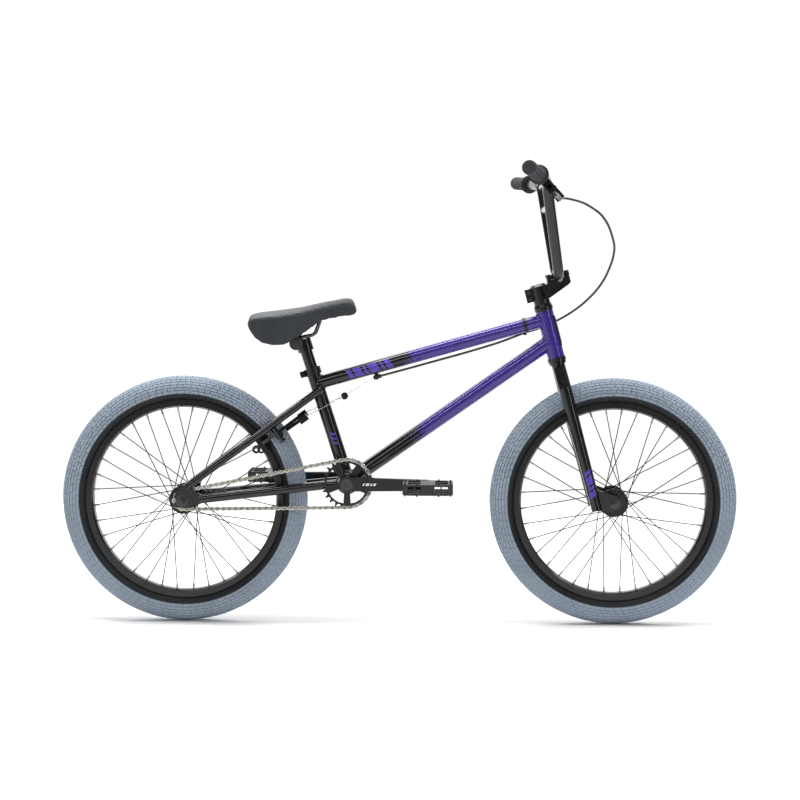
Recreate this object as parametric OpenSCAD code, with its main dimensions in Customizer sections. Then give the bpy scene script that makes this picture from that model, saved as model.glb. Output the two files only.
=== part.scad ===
// BMX bicycle. X points forward, Y to the rider's left, Z up; the drive side is -Y.
// The origin is on the ground, midway between the two axles, on the centre plane.

/* [Wheels] */
// Distance between the two axles
wheelbase = 905; // [890:1:930]
// Outer radius of both tyres
wheel_r = 260; // [256:1:262]
// Radius of the tyre's round section
tyre_r = 27; // [26:0.5:27.5]
// Spokes in each wheel
spoke_count = 36; // [36]
// Radius of a spoke
spoke_r = 1.0; // [0.8:0.1:1.1]

/* [Frame] */
// Height of the crank axis above the axles
bb_rise = 38; // [30:1:42]
// Angle of the head tube from the ground
head_angle = 75; // [74:0.5:76]
// Angle of the seat tube from the ground
seat_angle = 72; // [71:0.5:73]
// Length of the head tube
head_len = 102; // [98:1:104]
// Outer radius of the head tube
head_r = 18; // [17.5:0.5:18.5]
// Outer radius of the top tube
top_tube_r = 14.3; // [13:0.1:15]
// Outer radius of the down tube
down_tube_r = 15.9; // [15:0.1:17]
// Outer radius of the seat tube
seat_tube_r = 14.3; // [14.3:0.1:15]
// Length of the seat tube above the crank axis
seat_tube_len = 252; // [248:1:256]
// Outer radius of the chain stays
chain_stay_r = 9.5; // [8:0.5:9.5]
// Outer radius of the seat stays
seat_stay_r = 8; // [7:0.5:8]

/* [Drivetrain] */
// Teeth on the front sprocket
sprocket_teeth = 25; // [25]
// Teeth on the rear driver
cog_teeth = 9; // [9]
// Pitches in the chain
chain_links = 72; // [72]
// Radius of both wheel axles
axle_r = 4.76; // [4.76]
// Length of each crank arm between its two axes
crank_len = 170; // [165:1:175]
// Distance of the chain from the centre plane
chain_line = 46.5; // [46:0.5:47]

/* [Fork and handlebar] */
// Distance of the front axle ahead of the steering axis
fork_offset = 39.6; // [36:0.2:42]
// Radius of the steerer
steerer_r = 14.3; // [14.3]
// Radius of the handlebar tube
bar_r = 11.1; // [11.1]
// Half of the handlebar's width
bar_half = 368; // [355:1:372]
// Rise of the upper bends above the clamp
bar_rise = 200.5; // [195:0.5:205]

/* [Seat] */
// Radius of the seat post
post_r = 12.7; // [12.7]
// Length of the seat post
post_len = 172; // [165:1:180]

/* [Hidden] */
$fn = 48;
wheel_fn = 128;
gap = 0.3;
fit = 0.06;
lap = 0.8;
slim = 0.06;
wall = 1.6;

// Main points of the frame, side view
rear_axle_pt = [-wheelbase / 2, 0, wheel_r];
front_axle_pt = [wheelbase / 2, 0, wheel_r];

// Axle ends past the nuts: a thinner stub behind a narrow groove
stub_r = 4.4;
groove_r = 4;
groove_w = 0.4;
groove_lap = 0.6;

// Chain and its two toothed wheels
pitch = 12.7;
sprocket_pr = pitch / (2 * sin(180 / sprocket_teeth));
cog_pr = pitch / (2 * sin(180 / cog_teeth));
loose_links = chain_links - (sprocket_teeth + cog_teeth) / 2;
chain_beta = atan((sprocket_pr - cog_pr) / (loose_links * pitch / 2));
chain_run = (loose_links - (sprocket_teeth - cog_teeth) * chain_beta / 180) * pitch / 2;
axle_to_bb = sqrt(pow(chain_run, 2) + pow(sprocket_pr - cog_pr, 2));
bb_pt = [rear_axle_pt[0] + sqrt(pow(axle_to_bb, 2) - pow(bb_rise, 2)), 0, wheel_r + bb_rise];
chain_tilt = asin(bb_rise / axle_to_bb);
roller_r = 3.9;
roller_seat_r = 4.15;
run_links = chain_run / pitch;
sprocket_links = (180 + 2 * chain_beta) * sprocket_teeth / 360;
cog_start = 2 * run_links + sprocket_links;
sprocket_phase = 90 + chain_beta - (ceil(run_links) - run_links) * 360 / sprocket_teeth;
cog_phase = -90 - chain_beta - (ceil(cog_start) - cog_start) * 360 / cog_teeth;

// Steering axis: local z runs up the axis, local x forwards
steer_up = [-cos(head_angle), 0, sin(head_angle)];
steer_fwd = [sin(head_angle), 0, cos(head_angle)];
steer_pt = front_axle_pt - fork_offset * steer_fwd;
head_low = 324;
head_high = head_low + head_len;
cup_h = 8;
cup_r = 19.5;
race_r = 18;
cover_top = head_high + cup_h + 6;
stem_low = 449.5;
stem_high = 478;

// Seat tube axis
seat_up = [-cos(seat_angle), 0, sin(seat_angle)];
function seat_at(s) = bb_pt + s * seat_up;
function steer_at(t) = steer_pt + t * steer_up;

top_front = steer_at(head_high - 19);
top_rear = seat_at(218);
down_front = steer_at(head_low + 37);

// Seat stays: local x runs up the stay from its foot, local z away from the brake
stay_foot = [-445, 0, 288];
stay_dir = unit([0.807, 0, 0.5906]);
stay_foot_y = 62;
stay_slope = 40 / 340;
stay_len = 350;
dropout_y = 55;
dropout_t = 5;
brake_s = 222;
brake_y = 36;
pad_s = 178;

// Bottom bracket and cranks
shell_half = 36.5;
shell_r = 23.5;
shell_bore = 20.6;
spindle_r = 9.5;
crank_in = 52;
crank_t = 13;
crank_flare = 8;
pedal_in = 74;
pedal_w = 95;
pedal_l = 103;
pedal_axle_r = 6;

// Stem and handlebar
bar_x = 44.8;
bar_t = 485;
bar_lean = 6;
bar_bend = 35;
bar_low_y = 52;
bar_high_y = 125;
bar_sweep = 41.9;
bar_upsweep = 20.9;
clamp_half = 25;
bolt_dx = 19.5;
crossbar_rise = 146;
bar_tip = [-bar_sweep, bar_half, bar_rise + bar_upsweep];
bar_knee = [0, bar_high_y, bar_rise];
bar_side = [[0, bar_low_y, 0], bar_knee, bar_tip];
bar_path = concat([for (i = [2 : -1 : 0]) flip_y(bar_side[i])], bar_side);
grip_len = norm(bar_tip - bar_knee);
grip_in = 112;
grip_r = 14.5;
flange_r = 20;

// Rear brake lever, in a frame on the right grip's axis: z outboard, x away from the bar
perch_d = 92;
lever_dir = [cos(57), 0, -sin(57)];
lever_x = 36;
barrel_x = 55;

// Saddle
bolt_pt = [-216, 0, 590];
rail_r = 3.5;

// Brake cable from the lever to the stop under the top tube
cable_r = 2.5;
cable_route = [
    [325.5, -193.5, 890.5], [329, -181, 890], [339, -169, 890], [356, -159, 887],
    [376, -150, 881], [396, -141, 870], [413, -130, 857], [427, -117, 838],
    [437, -100, 815], [443, -82, 794], [442, -62, 772],
    [436, -45, 750], [427, -29, 728], [414, -14, 707], [398, 1, 688], [379, 14, 670],
    [357, 23, 654], [335, 28, 641], [312, 27, 630], [288, 19, 621], [264, 10, 614],
    [235, 5, 603], [202, 2, 591], [140, 0, 572], [80, 0, 555],
    [20, 0, 538], [-20, 0, 527], [-38, 0, 522]
];
cable_rings = 78;
wire_r = 0.8;
hanger_pt = [-115, 0, 479];
wire_bend = [-57, 0, 516.7];
function wire_start(side) = hanger_pt + [-3.4, side * 11, -1.6];

// ---- Placing and sweeping ----

function unit(v) = v / norm(v);
function across(v) = abs(unit(v)[1]) > 0.9 ? [1, 0, 0] : [0, 1, 0];
function flip_y(p) = [p[0], -p[1], p[2]];

// Children with their z axis along z_dir and their x axis towards x_dir, at point o
module frame_at(o, z_dir, x_dir) {
    z = unit(z_dir);
    x = unit(x_dir - (x_dir * z) * z);
    y = cross(z, x);
    multmatrix([
        [x[0], y[0], z[0], o[0]], [x[1], y[1], z[1], o[1]],
        [x[2], y[2], z[2], o[2]], [0, 0, 0, 1]
    ])
        children();
}

// Round bar or cone from a to b
module rod(a, b, r, r_end = undef) {
    frame_at(a, b - a, across(b - a))
        cylinder(h = norm(b - a), r1 = r, r2 = is_undef(r_end) ? r : r_end);
}

function turn(p, i) = acos(unit(p[i] - p[i - 1]) * unit(p[i + 1] - p[i]));
function trim(p, i, bend) = (i == 0 || i == len(p) - 1) ? 0 : bend * tan(turn(p, i) / 2);

// Round bar along straight runs that are joined by bends of one radius; each run is a hair
// thinner than its bends and reaches a little way into them
module pipe(p, bend, r) {
    for (i = [0 : len(p) - 2]) {
        d = unit(p[i + 1] - p[i]);
        into = [i == 0 ? 0 : lap, i == len(p) - 2 ? 0 : lap];
        rod(p[i] + d * (trim(p, i, bend) - into[0]),
            p[i + 1] - d * (trim(p, i + 1, bend) - into[1]), r - slim);
    }
    for (i = [1 : 1 : len(p) - 2]) {
        d = unit(p[i] - p[i - 1]);
        a = turn(p, i);
        frame_at(p[i] - d * trim(p, i, bend), d, p[i + 1] - p[i])
            translate([bend, 0, 0])
                rotate([90, 0, 0])
                    rotate([0, 0, 180 - a])
                        rotate_extrude(angle = a)
                            translate([bend, 0])
                                circle(r = r);
    }
}

// Tube wall from a to b
module tube(a, b, r, w = wall) {
    difference() {
        rod(a, b, r);
        rod(a - unit(b - a), b + unit(b - a), r - w);
    }
}

// Ring about the z axis
module ring(r_in, r_out, low, high) {
    translate([0, 0, low])
        difference() {
            cylinder(h = high - low, r = r_out);
            translate([0, 0, -1])
                cylinder(h = high - low + 2, r = r_in);
        }
}

module both_sides() {
    children();
    mirror([0, 1, 0])
        children();
}

module steer_frame() {
    translate(steer_pt)
        rotate([0, head_angle - 90, 0])
            children();
}

module bar_frame() {
    steer_frame()
        translate([bar_x, 0, bar_t])
            rotate([0, bar_lean, 0])
                children();
}

// Local z towards the drive side, local x forwards, local y up
module side_frame(p) {
    translate(p)
        rotate([90, 0, 0])
            children();
}

module seat_frame() {
    translate(bb_pt)
        rotate([0, seat_angle - 90, 0])
            children();
}

module stay_frame() {
    frame_at(stay_foot, cross(stay_dir, [0, 1, 0]), stay_dir)
        children();
}

module lever_frame() {
    bar_frame()
        frame_at(flip_y(bar_knee + perch_d * unit(bar_tip - bar_knee)),
                 flip_y(bar_tip - bar_knee), lever_dir)
            children();
}

function stay_y(s) = stay_foot_y - s * stay_slope;
function stay_at(s, side) = stay_foot + s * stay_dir + [0, side * stay_y(s), 0];

// ---- Frame tubes ----

module head_tube() color("indigo")
    steer_frame()
        ring(16, head_r, head_low, head_high);

module top_tube() color("indigo")
    difference() {
        tube(top_rear, top_front, top_tube_r);
        rod(steer_at(head_low), steer_at(head_high), head_r + 0.05);
        rod(seat_at(100), seat_at(seat_tube_len + 20), seat_tube_r + 0.05);
    }

module down_tube() color("indigo")
    difference() {
        tube(bb_pt, down_front, down_tube_r);
        rod(steer_at(head_low - 20), steer_at(head_high), head_r + 0.05);
        rod(bb_pt - [0, 60, 0], bb_pt + [0, 60, 0], shell_r + 0.05);
        rod(bb_pt, seat_at(seat_tube_len), seat_tube_r + 0.05);
    }

module seat_tube() color("black")
    difference() {
        rod(bb_pt, seat_at(seat_tube_len), seat_tube_r);
        rod(bb_pt, seat_at(seat_tube_len + 1), post_r + fit);
        rod(bb_pt - [0, 60, 0], bb_pt + [0, 60, 0], shell_r + 0.05);
    }

module bottom_bracket_shell() color("black")
    side_frame(bb_pt)
        ring(shell_bore, shell_r, -shell_half, shell_half);

// A chain stay runs from the shell's side out to the front of its dropout
chain_stay_y = 27;
function chain_stay_end(side) = [rear_axle_pt[0] + 36, side * 58, wheel_r + 4];
function chain_stay_start(side) = [bb_pt[0], side * chain_stay_y, bb_pt[2]];

module chain_stays() color("black")
    for (side = [-1, 1])
        difference() {
            tube(chain_stay_start(side), chain_stay_end(side), chain_stay_r, 1.4);
            rod(bb_pt - [0, 60, 0], bb_pt + [0, 60, 0], shell_r + 0.05);
            dropout_slab(side, 0.05);
        }

module seat_stays() color("black")
    for (side = [-1, 1])
        difference() {
            tube(stay_at(0, side), stay_at(stay_len, side), seat_stay_r, 1.3);
            rod(seat_at(100), seat_at(seat_tube_len + 20), seat_tube_r + 0.05);
            rod(top_rear, top_front, top_tube_r + 0.05);
            dropout_slab(side, 0.05);
        }

// Side outline of a dropout plate about the rear axle
dropout_outline = [
    [-16, -13], [8, -15], [40, -6], [46, 6], [40, 14], [26, 20], [24, 30], [14, 36], [2, 32],
    [-12, 18], [-18, 4]
];

module dropout_slab(side, grow) {
    translate([rear_axle_pt[0], side * (dropout_y + dropout_t / 2) + dropout_t / 2 + grow, wheel_r])
        rotate([90, 0, 0])
            linear_extrude(height = dropout_t + 2 * grow)
                polygon(dropout_outline);
}

module rear_dropouts() color("black")
    for (side = [-1, 1])
        difference() {
            dropout_slab(side, 0);
            // Axle slot, open to the rear
            translate([rear_axle_pt[0], side * (dropout_y + dropout_t / 2), wheel_r]) {
                rotate([90, 0, 0])
                    cylinder(h = dropout_t + 2, r = axle_r + 0.1, center = true);
                translate([-20, 0, 0])
                    cube([40, dropout_t + 2, 2 * axle_r + 0.2], center = true);
            }
        }

// Short rods that tie each pair of stays
module stay_bridges() color("black") {
    chain_bridge_x = bb_pt[0] - 48;
    chain_bridge_z = bb_pt[2] - 4.5;
    difference() {
        rod([chain_bridge_x, -34, chain_bridge_z], [chain_bridge_x, 34, chain_bridge_z], 6);
        for (side = [-1, 1])
            rod(chain_stay_start(side), chain_stay_end(side), chain_stay_r + 0.05);
    }
    difference() {
        rod(stay_at(292, -1), stay_at(292, 1), 5);
        for (side = [-1, 1])
            rod(stay_at(0, side), stay_at(stay_len, side), seat_stay_r + 0.05);
    }
}

// Brake pivot posts under the seat stays
post_tip = -38;
module brake_bosses() color("black")
    stay_frame()
        for (side = [-1, 1])
            translate([brake_s, side * brake_y, 0]) {
                ring(4, 7, -15, -seat_stay_r - 0.1);
                translate([0, 0, post_tip])
                    cylinder(h = -post_tip - seat_stay_r - 0.1, r = 4);
                translate([0, 0, post_tip - 4])
                    cylinder(h = 4, r = 8);
            }

// Band clip near the head tube, and the hanging stop where the cable housing ends
clip_at = 0.085;
clip_pt = [264, 10, 614.2];
function top_tube_at(k) = top_front + k * (top_rear - top_front);
top_dir = unit(top_rear - top_front);

module cable_guides() color("black") {
    difference() {
        union() {
            rod(top_tube_at(clip_at), top_tube_at(clip_at) + 7 * top_dir, top_tube_r + 1.8);
            rod(clip_pt - 3.5 * top_dir, clip_pt + 3.5 * top_dir, 5.4);
        }
        rod(top_tube_at(0), top_tube_at(0.5), top_tube_r + 0.05);
        rod(clip_pt - 12 * top_dir, clip_pt + 12 * top_dir, 3.6);
    }
    difference() {
        union() {
            translate([-52, -2.5, 514])
                cube([8, 5, 26]);
            rod([-54, 0, 517.6], [-38, 0, 522], 4.6);
        }
        rod(top_rear, top_front, top_tube_r + 0.05);
        rod([-46, 0, 519.8], [-30, 0, 524.2], cable_r + 0.1);
        rod([-62, 0, 515.4], [-30, 0, 524.2], 1.2);
    }
}

module seat_clamp() color("black")
    seat_frame() {
        difference() {
            union() {
                ring(seat_tube_r + 0.05, seat_tube_r + 3.5, seat_tube_len - 15, seat_tube_len);
                translate([-27, -8, seat_tube_len - 14])
                    cube([12, 16, 13]);
            }
            cylinder(h = 400, r = seat_tube_r + 0.05);
            translate([-30, -1, seat_tube_len - 16])
                cube([18, 2, 17]);
            translate([-22, 0, seat_tube_len - 7])
                rotate([90, 0, 0])
                    cylinder(h = 40, r = 3.1, center = true);
        }
        translate([-22, -14, seat_tube_len - 7])
            rotate([-90, 0, 0])
                cylinder(h = 26, r = 3);
        for (y = [-14, 8.2])
            translate([-22, y, seat_tube_len - 7])
                rotate([-90, 0, 0])
                    cylinder(h = 5.8, r = 5);
    }

module headset_cups() color("black")
    steer_frame()
        for (low = [true, false]) {
            // The low cup hangs below the head tube and the high one stands on top
            edge = low ? head_low : head_high;
            turned = low ? 180 : 0;
            translate([0, 0, edge])
                rotate([turned, 0, 0]) {
                    ring(18, cup_r, 0, cup_h);
                    ring(14.9, 18.1, 0, 1.2);
                    ring(14.9, 15.95, -12, 0.1);
                }
        }

// Headset and crank bearings, pressed in the frame
module frame_bearings() color("silver") {
    steer_frame()
        for (low = [head_low - cup_h + 0.2, head_high + 1.3])
            ring(steerer_r + fit, 17.95, low, low + 6.4);
    side_frame(bb_pt)
        for (low = [-shell_half, shell_half - 12])
            ring(spindle_r + fit, shell_bore - 0.02, low, low + 12);
}

// Axle with a washer and a hexagon nut outside each fork end, and a free stub past each nut
module axle_set(p, half, nut_in, washer_r) {
    inner = nut_in + 10.18;
    side_frame(p) {
        translate([0, 0, -inner])
            cylinder(h = 2 * inner, r = axle_r);
        translate([0, 0, -inner - groove_w - groove_lap])
            cylinder(h = 2 * (inner + groove_w + groove_lap), r = groove_r);
        for (side = [0, 1])
            mirror([0, 0, side])
                translate([0, 0, inner + groove_w])
                    cylinder(h = half - inner - groove_w, r = stub_r);
        for (side = [0, 1])
            mirror([0, 0, side]) {
                ring(axle_r + 0.02, washer_r, nut_in, nut_in + 2);
                difference() {
                    translate([0, 0, nut_in + 2.02])
                        cylinder(h = 8, r = 8.7, $fn = 6);
                    cylinder(h = half + 10, r = axle_r + 0.02);
                }
            }
    }
}

module rear_axle() color("dimgray")
    axle_set(rear_axle_pt, 80, dropout_y + dropout_t + 0.02, 13);

// ---- Chain ----

// Centre of link pin k and the chain's direction there, in the plane of the chain
function chain_pin(k) =
    k < run_links
    ? [cog_pr * [-sin(chain_beta), cos(chain_beta)]
       + k * pitch * [cos(chain_beta), sin(chain_beta)], chain_beta]
    : k < run_links + sprocket_links
    ? let (a = 90 + chain_beta - (k - run_links) * 360 / sprocket_teeth)
      [[axle_to_bb, 0] + sprocket_pr * [cos(a), sin(a)], a - 90]
    : k < cog_start
    ? let (d = (k - run_links - sprocket_links) * pitch)
      [[axle_to_bb, 0] + sprocket_pr * [-sin(chain_beta), -cos(chain_beta)]
       - d * [cos(chain_beta), -sin(chain_beta)], 180 - chain_beta]
    : let (a = -90 - chain_beta - (k - cog_start) * 360 / cog_teeth)
      [cog_pr * [cos(a), sin(a)], a - 90];

module chain_frame() {
    side_frame([rear_axle_pt[0], -chain_line, rear_axle_pt[2]])
        rotate([0, 0, chain_tilt])
            children();
}

// Filled outline of a belt round the cog and the sprocket, grown by g from the pitch line
module belt_outline(g) {
    a = cog_pr + g;
    b = sprocket_pr + g;
    sb = sin(chain_beta);
    cb = cos(chain_beta);
    circle(r = a, $fn = wheel_fn);
    translate([axle_to_bb, 0])
        circle(r = b, $fn = wheel_fn);
    polygon([
        [-a * sb, a * cb], [axle_to_bb - b * sb, b * cb],
        [axle_to_bb - b * sb, -b * cb], [-a * sb, -a * cb]
    ]);
}

module chain() color("silver")
    chain_frame() {
        for (z = [-2.9, 1.75])
            translate([0, 0, z])
                linear_extrude(height = 1.15)
                    difference() {
                        belt_outline(4);
                        belt_outline(-4);
                    }
        for (k = [0 : chain_links - 1])
            translate([chain_pin(k)[0][0], chain_pin(k)[0][1], -1.75])
                cylinder(h = 3.5, r = roller_r);
    }

// Disc with roller seats round its edge; each seat opens out to half width flare
module toothed_disc(teeth, pr, phase, top, flare) {
    difference() {
        circle(r = pr + top, $fn = wheel_fn);
        for (i = [0 : teeth - 1])
            rotate(phase + i * 360 / teeth)
                translate([pr, 0])
                    circle(r = roller_seat_r);
        for (i = [0 : teeth - 1])
            rotate(phase + i * 360 / teeth)
                polygon([[pr, -4.1], [pr + 3.5, -flare], [pr + 3.5, flare], [pr, 4.1]]);
    }
}

module sprocket() color("black")
    side_frame(bb_pt - [0, chain_line, 0])
        difference() {
            translate([0, 0, -1.4])
                linear_extrude(height = 2.8)
                    toothed_disc(sprocket_teeth, sprocket_pr, sprocket_phase + chain_tilt, 3, 5.9);
            translate([0, 0, -5])
                cylinder(h = 10, r = spindle_r + 0.05);
            for (i = [0 : 4])
                rotate([0, 0, -54 + i * 72])
                    translate([0, 0, -5])
                        linear_extrude(height = 10)
                            polygon([
                                [17, -5], [38, -18], [42, -9], [43, 0], [42, 9], [38, 18], [17, 5]
                            ]);
        }

module driver_cog() color("dimgray")
    side_frame(rear_axle_pt - [0, chain_line, 0])
        difference() {
            union() {
                translate([0, 0, -1.4])
                    linear_extrude(height = 2.8)
                        toothed_disc(cog_teeth, cog_pr, cog_phase + chain_tilt, 2.6, 7.3);
                translate([0, 0, -6])
                    cylinder(h = 11, r = 12);
            }
            translate([0, 0, -10])
                cylinder(h = 20, r = axle_r + fit);
        }

// ---- Cables ----

function spline(p, i, u) =
    let (
        a = p[max(i - 1, 0)],
        b = p[i],
        c = p[i + 1],
        d = p[min(i + 2, len(p) - 1)]
    )
    0.5 * (2 * b + (c - a) * u + (2 * a - 5 * b + 4 * c - d) * u * u
           + (3 * b - a - 3 * c + d) * u * u * u);

function along(p, k) =
    let (i = min(floor(k), len(p) - 2))
    spline(p, i, k - i);

// Tube swept through route, as rings of side_count points
module cord(route, r, rings, side_count = 8) {
    step = (len(route) - 1) / (rings - 1);
    mid = [for (i = [0 : rings - 1]) along(route, i * step)];
    dir = [for (i = [0 : rings - 1]) unit(mid[min(i + 1, rings - 1)] - mid[max(i - 1, 0)])];
    points = [
        for (i = [0 : rings - 1])
            let (
                u = unit(cross(dir[i], [0.2, 1, 0.1])),
                v = cross(dir[i], u)
            )
            for (j = [0 : side_count - 1])
                mid[i] + r * (cos(j * 360 / side_count) * u + sin(j * 360 / side_count) * v)
    ];
    sides = [
        for (i = [0 : rings - 2])
            for (j = [0 : side_count - 1])
                let (
                    a = i * side_count + j,
                    b = i * side_count + (j + 1) % side_count
                )
                for (t = [[a, a + side_count, b], [b, a + side_count, b + side_count]])
                    t
    ];
    first = [for (j = [0 : side_count - 1]) j];
    last = [for (j = [side_count - 1 : -1 : 0]) (rings - 1) * side_count + j];
    polyhedron(points = points, faces = concat(sides, [first, last]));
}

module brake_cable() color("dimgray")
    cord(cable_route, cable_r, cable_rings);

module brake_wire() color("silver") {
    cord([[-40, 0, 521.45], [-48, 0, 519.25], wire_bend, [-66, 0, 511.2],
          hanger_pt + [3, 0, 1.8]], wire_r, 24);
    for (side = [-1, 1])
        rod(wire_start(side), arm_tip(side), wire_r);
}

// ---- Fork, headset and stem ----

crown_t = 305;
crown_low = 289;
leg_top_y = 20;
leg_knee = [0, 42, 258];
leg_foot = [0, 58, -4];
leg_r = 13.5;

module fork_steerer() color("black")
    steer_frame() {
        ring(11.5, steerer_r, crown_low, stem_high - 2);
        ring(steerer_r - 0.5, race_r, head_low - cup_h - 6, head_low - cup_h - gap);
    }

module fork_leg_solid(grow) {
    knee_over = 2.6;
    d = unit(leg_foot - leg_knee);
    rod([0, leg_top_y, crown_t], leg_knee + knee_over * unit(leg_knee - [0, leg_top_y, crown_t]),
        leg_r + grow);
    rod(leg_knee - knee_over * d, leg_foot, leg_r + grow + 0.1, 11 + grow);
}

module fork_legs() color("black")
    steer_frame()
        for (side = [0, 1])
            mirror([0, side, 0])
                difference() {
                    fork_leg_solid(0);
                    rod([0, leg_top_y, crown_t], leg_knee, leg_r - 2);
                    rod(leg_knee, leg_foot - [0, 0, 3], leg_r - 2, 9);
                    translate([0, 0, crown_low - 0.05])
                        cylinder(h = 60, r = steerer_r + 0.05);
                    translate([0, 0, crown_t])
                        cylinder(h = 100, r = 60);
                    translate([0, -60, 200])
                        cube([120, 120, 300], center = true);
                }

// Plates ahead of the legs that carry the front axle
module fork_dropouts() color("black")
    steer_frame()
        for (side = [0, 1])
            mirror([0, side, 0])
                difference() {
                    translate([0, 56, 0])
                        rotate([90, 0, 0])
                            linear_extrude(height = 6)
                                polygon([
                                    [2, -6], [30, -13], [44, -14], [54, -6], [55, 5], [48, 14],
                                    [36, 22], [12, 38], [4, 40]
                                ]);
                    fork_leg_solid(0.05);
                    translate([fork_offset, 70, 0])
                        rotate([90, 0, 0])
                            cylinder(h = 40, r = axle_r + 0.1);
                    translate([fork_offset - axle_r - 0.1, 40, -40])
                        cube([2 * axle_r + 0.2, 30, 40]);
                }

module front_axle() color("dimgray")
    axle_set(front_axle_pt, 75, 56.02, 11);

module headset_spacers() color("black")
    steer_frame() {
        // Domed dust cover, then two spacers
        translate([0, 0, head_high + cup_h + gap])
            difference() {
                cylinder(h = cover_top - head_high - cup_h - gap, r1 = cup_r, r2 = 17.5);
                translate([0, 0, -1])
                    cylinder(h = 20, r = steerer_r + 0.02);
            }
        ring(steerer_r + 0.02, 17, cover_top + 0.02, cover_top + 4.5);
        ring(steerer_r + 0.02, 17, cover_top + 4.6, stem_low - 0.02);
    }

stem_side = [
    [8, stem_low], [18, stem_low], [63, 467], [68, 471], [68, 484.6], [21, 484.6], [19, 478],
    [8, 478]
];

module stem_body() color("black")
    steer_frame()
        difference() {
            union() {
                translate([0, 0, stem_low])
                    cylinder(h = stem_high - stem_low, r = 19);
                translate([0, clamp_half, 0])
                    rotate([90, 0, 0])
                        linear_extrude(height = 2 * clamp_half)
                            polygon(stem_side);
                translate([-30, -12, stem_low])
                    cube([18, 24, stem_high - stem_low - 0.5]);
            }
            translate([0, 0, stem_low - 5])
                cylinder(h = 60, r = steerer_r + 0.02);
            translate([-40, -1, stem_low - 5])
                cube([30, 2, 60]);
            translate([bar_x, 0, bar_t])
                rotate([90, 0, 0])
                    cylinder(h = 100, r = bar_r + 0.02, center = true);
            for (t = [stem_low + 7, stem_high - 8])
                translate([-23, 0, t])
                    rotate([90, 0, 0])
                        cylinder(h = 60, r = 2.6, center = true);
            for (dx = [-bolt_dx, bolt_dx], y = [-16, 16])
                translate([bar_x + dx, y, bar_t - 12])
                    cylinder(h = 40, r = 3.05);
            // Milled side pockets
            for (side = [-1, 1])
                translate([36, side * (clamp_half + 2), 464])
                    rotate([0, -20, 0])
                        cube([26, 10, 9], center = true);
        }

module stem_cap() color("black")
    steer_frame()
        difference() {
            union() {
                translate([bar_x, 0, bar_t])
                    rotate([90, 0, 0])
                        cylinder(h = 2 * clamp_half, r = 16, center = true);
                translate([bar_x - 24, -clamp_half, 485.4])
                    cube([48, 2 * clamp_half, 6]);
            }
            translate([bar_x - 40, -50, 440])
                cube([80, 100, 45.4]);
            translate([bar_x, 0, bar_t])
                rotate([90, 0, 0])
                    cylinder(h = 100, r = bar_r + 0.02, center = true);
            for (dx = [-bolt_dx, bolt_dx], y = [-16, 16])
                translate([bar_x + dx, y, bar_t - 12])
                    cylinder(h = 40, r = 3.05);
            // Relief over each bolt head
            for (dx = [-bolt_dx, bolt_dx], y = [-16, 16])
                translate([bar_x + dx, y, 491.4])
                    cylinder(h = 40, r = 5.3);
        }

// Cap screw along z with its head from 0 up to head_h
module cap_screw(r, shank, head_r, head_h) {
    translate([0, 0, -shank])
        cylinder(h = shank + 0.1, r = r);
    difference() {
        cylinder(h = head_h, r = head_r);
        translate([0, 0, head_h - 2.5])
            cylinder(h = 5, r = r * 0.8, $fn = 6);
    }
}

module stem_bolts() color("dimgray")
    steer_frame() {
        for (dx = [-bolt_dx, bolt_dx], y = [-16, 16])
            translate([bar_x + dx, y, 491.45])
                cap_screw(3, 16, 5, 5);
        for (t = [stem_low + 7, stem_high - 8])
            translate([-23, -12.05, t])
                rotate([90, 0, 0])
                    cap_screw(2.5, 22, 4.2, 4);
    }

module top_cap() color("black")
    steer_frame() {
        translate([0, 0, stem_high + 0.02])
            difference() {
                cylinder(h = 4.5, r1 = 18, r2 = 14);
                translate([0, 0, 1.5])
                    cylinder(h = 5, r = 5.2);
                translate([0, 0, -1])
                    cylinder(h = 8, r = 3.05);
            }
        translate([0, 0, stem_high + 1.6])
            cap_screw(3, 24, 5, 3.4);
    }

// ---- Handlebar and controls ----

module handlebar() color("black")
    bar_frame()
        difference() {
            pipe(bar_path, bar_bend, bar_r);
            pipe(bar_path, bar_bend, bar_r - 1.8);
        }

crossbar_half = bar_low_y + (bar_high_y - bar_low_y) * crossbar_rise / bar_rise;

module crossbar() color("black")
    bar_frame()
        difference() {
            rod([0, -crossbar_half, crossbar_rise], [0, crossbar_half, crossbar_rise], 9.5);
            rod([0, -crossbar_half - 1, crossbar_rise], [0, crossbar_half + 1, crossbar_rise], 8);
            rod([0, bar_low_y, 0], bar_knee, bar_r + 0.05);
            rod([0, -bar_low_y, 0], flip_y(bar_knee), bar_r + 0.05);
        }

module grip() {
    bar_frame()
        frame_at(bar_knee, bar_tip - bar_knee, [1, 0, 0])
            difference() {
                union() {
                    translate([0, 0, grip_in])
                        cylinder(h = 4, r = flange_r);
                    translate([0, 0, grip_in + 3])
                        cylinder(h = grip_len - grip_in - 1, r = grip_r);
                }
                translate([0, 0, grip_in - 1])
                    cylinder(h = grip_len - grip_in + 1.02, r = bar_r + 0.02);
            }
}

module grip_left() color("dimgray")
    grip();

module grip_right() color("dimgray")
    mirror([0, 1, 0])
        grip();

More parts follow.
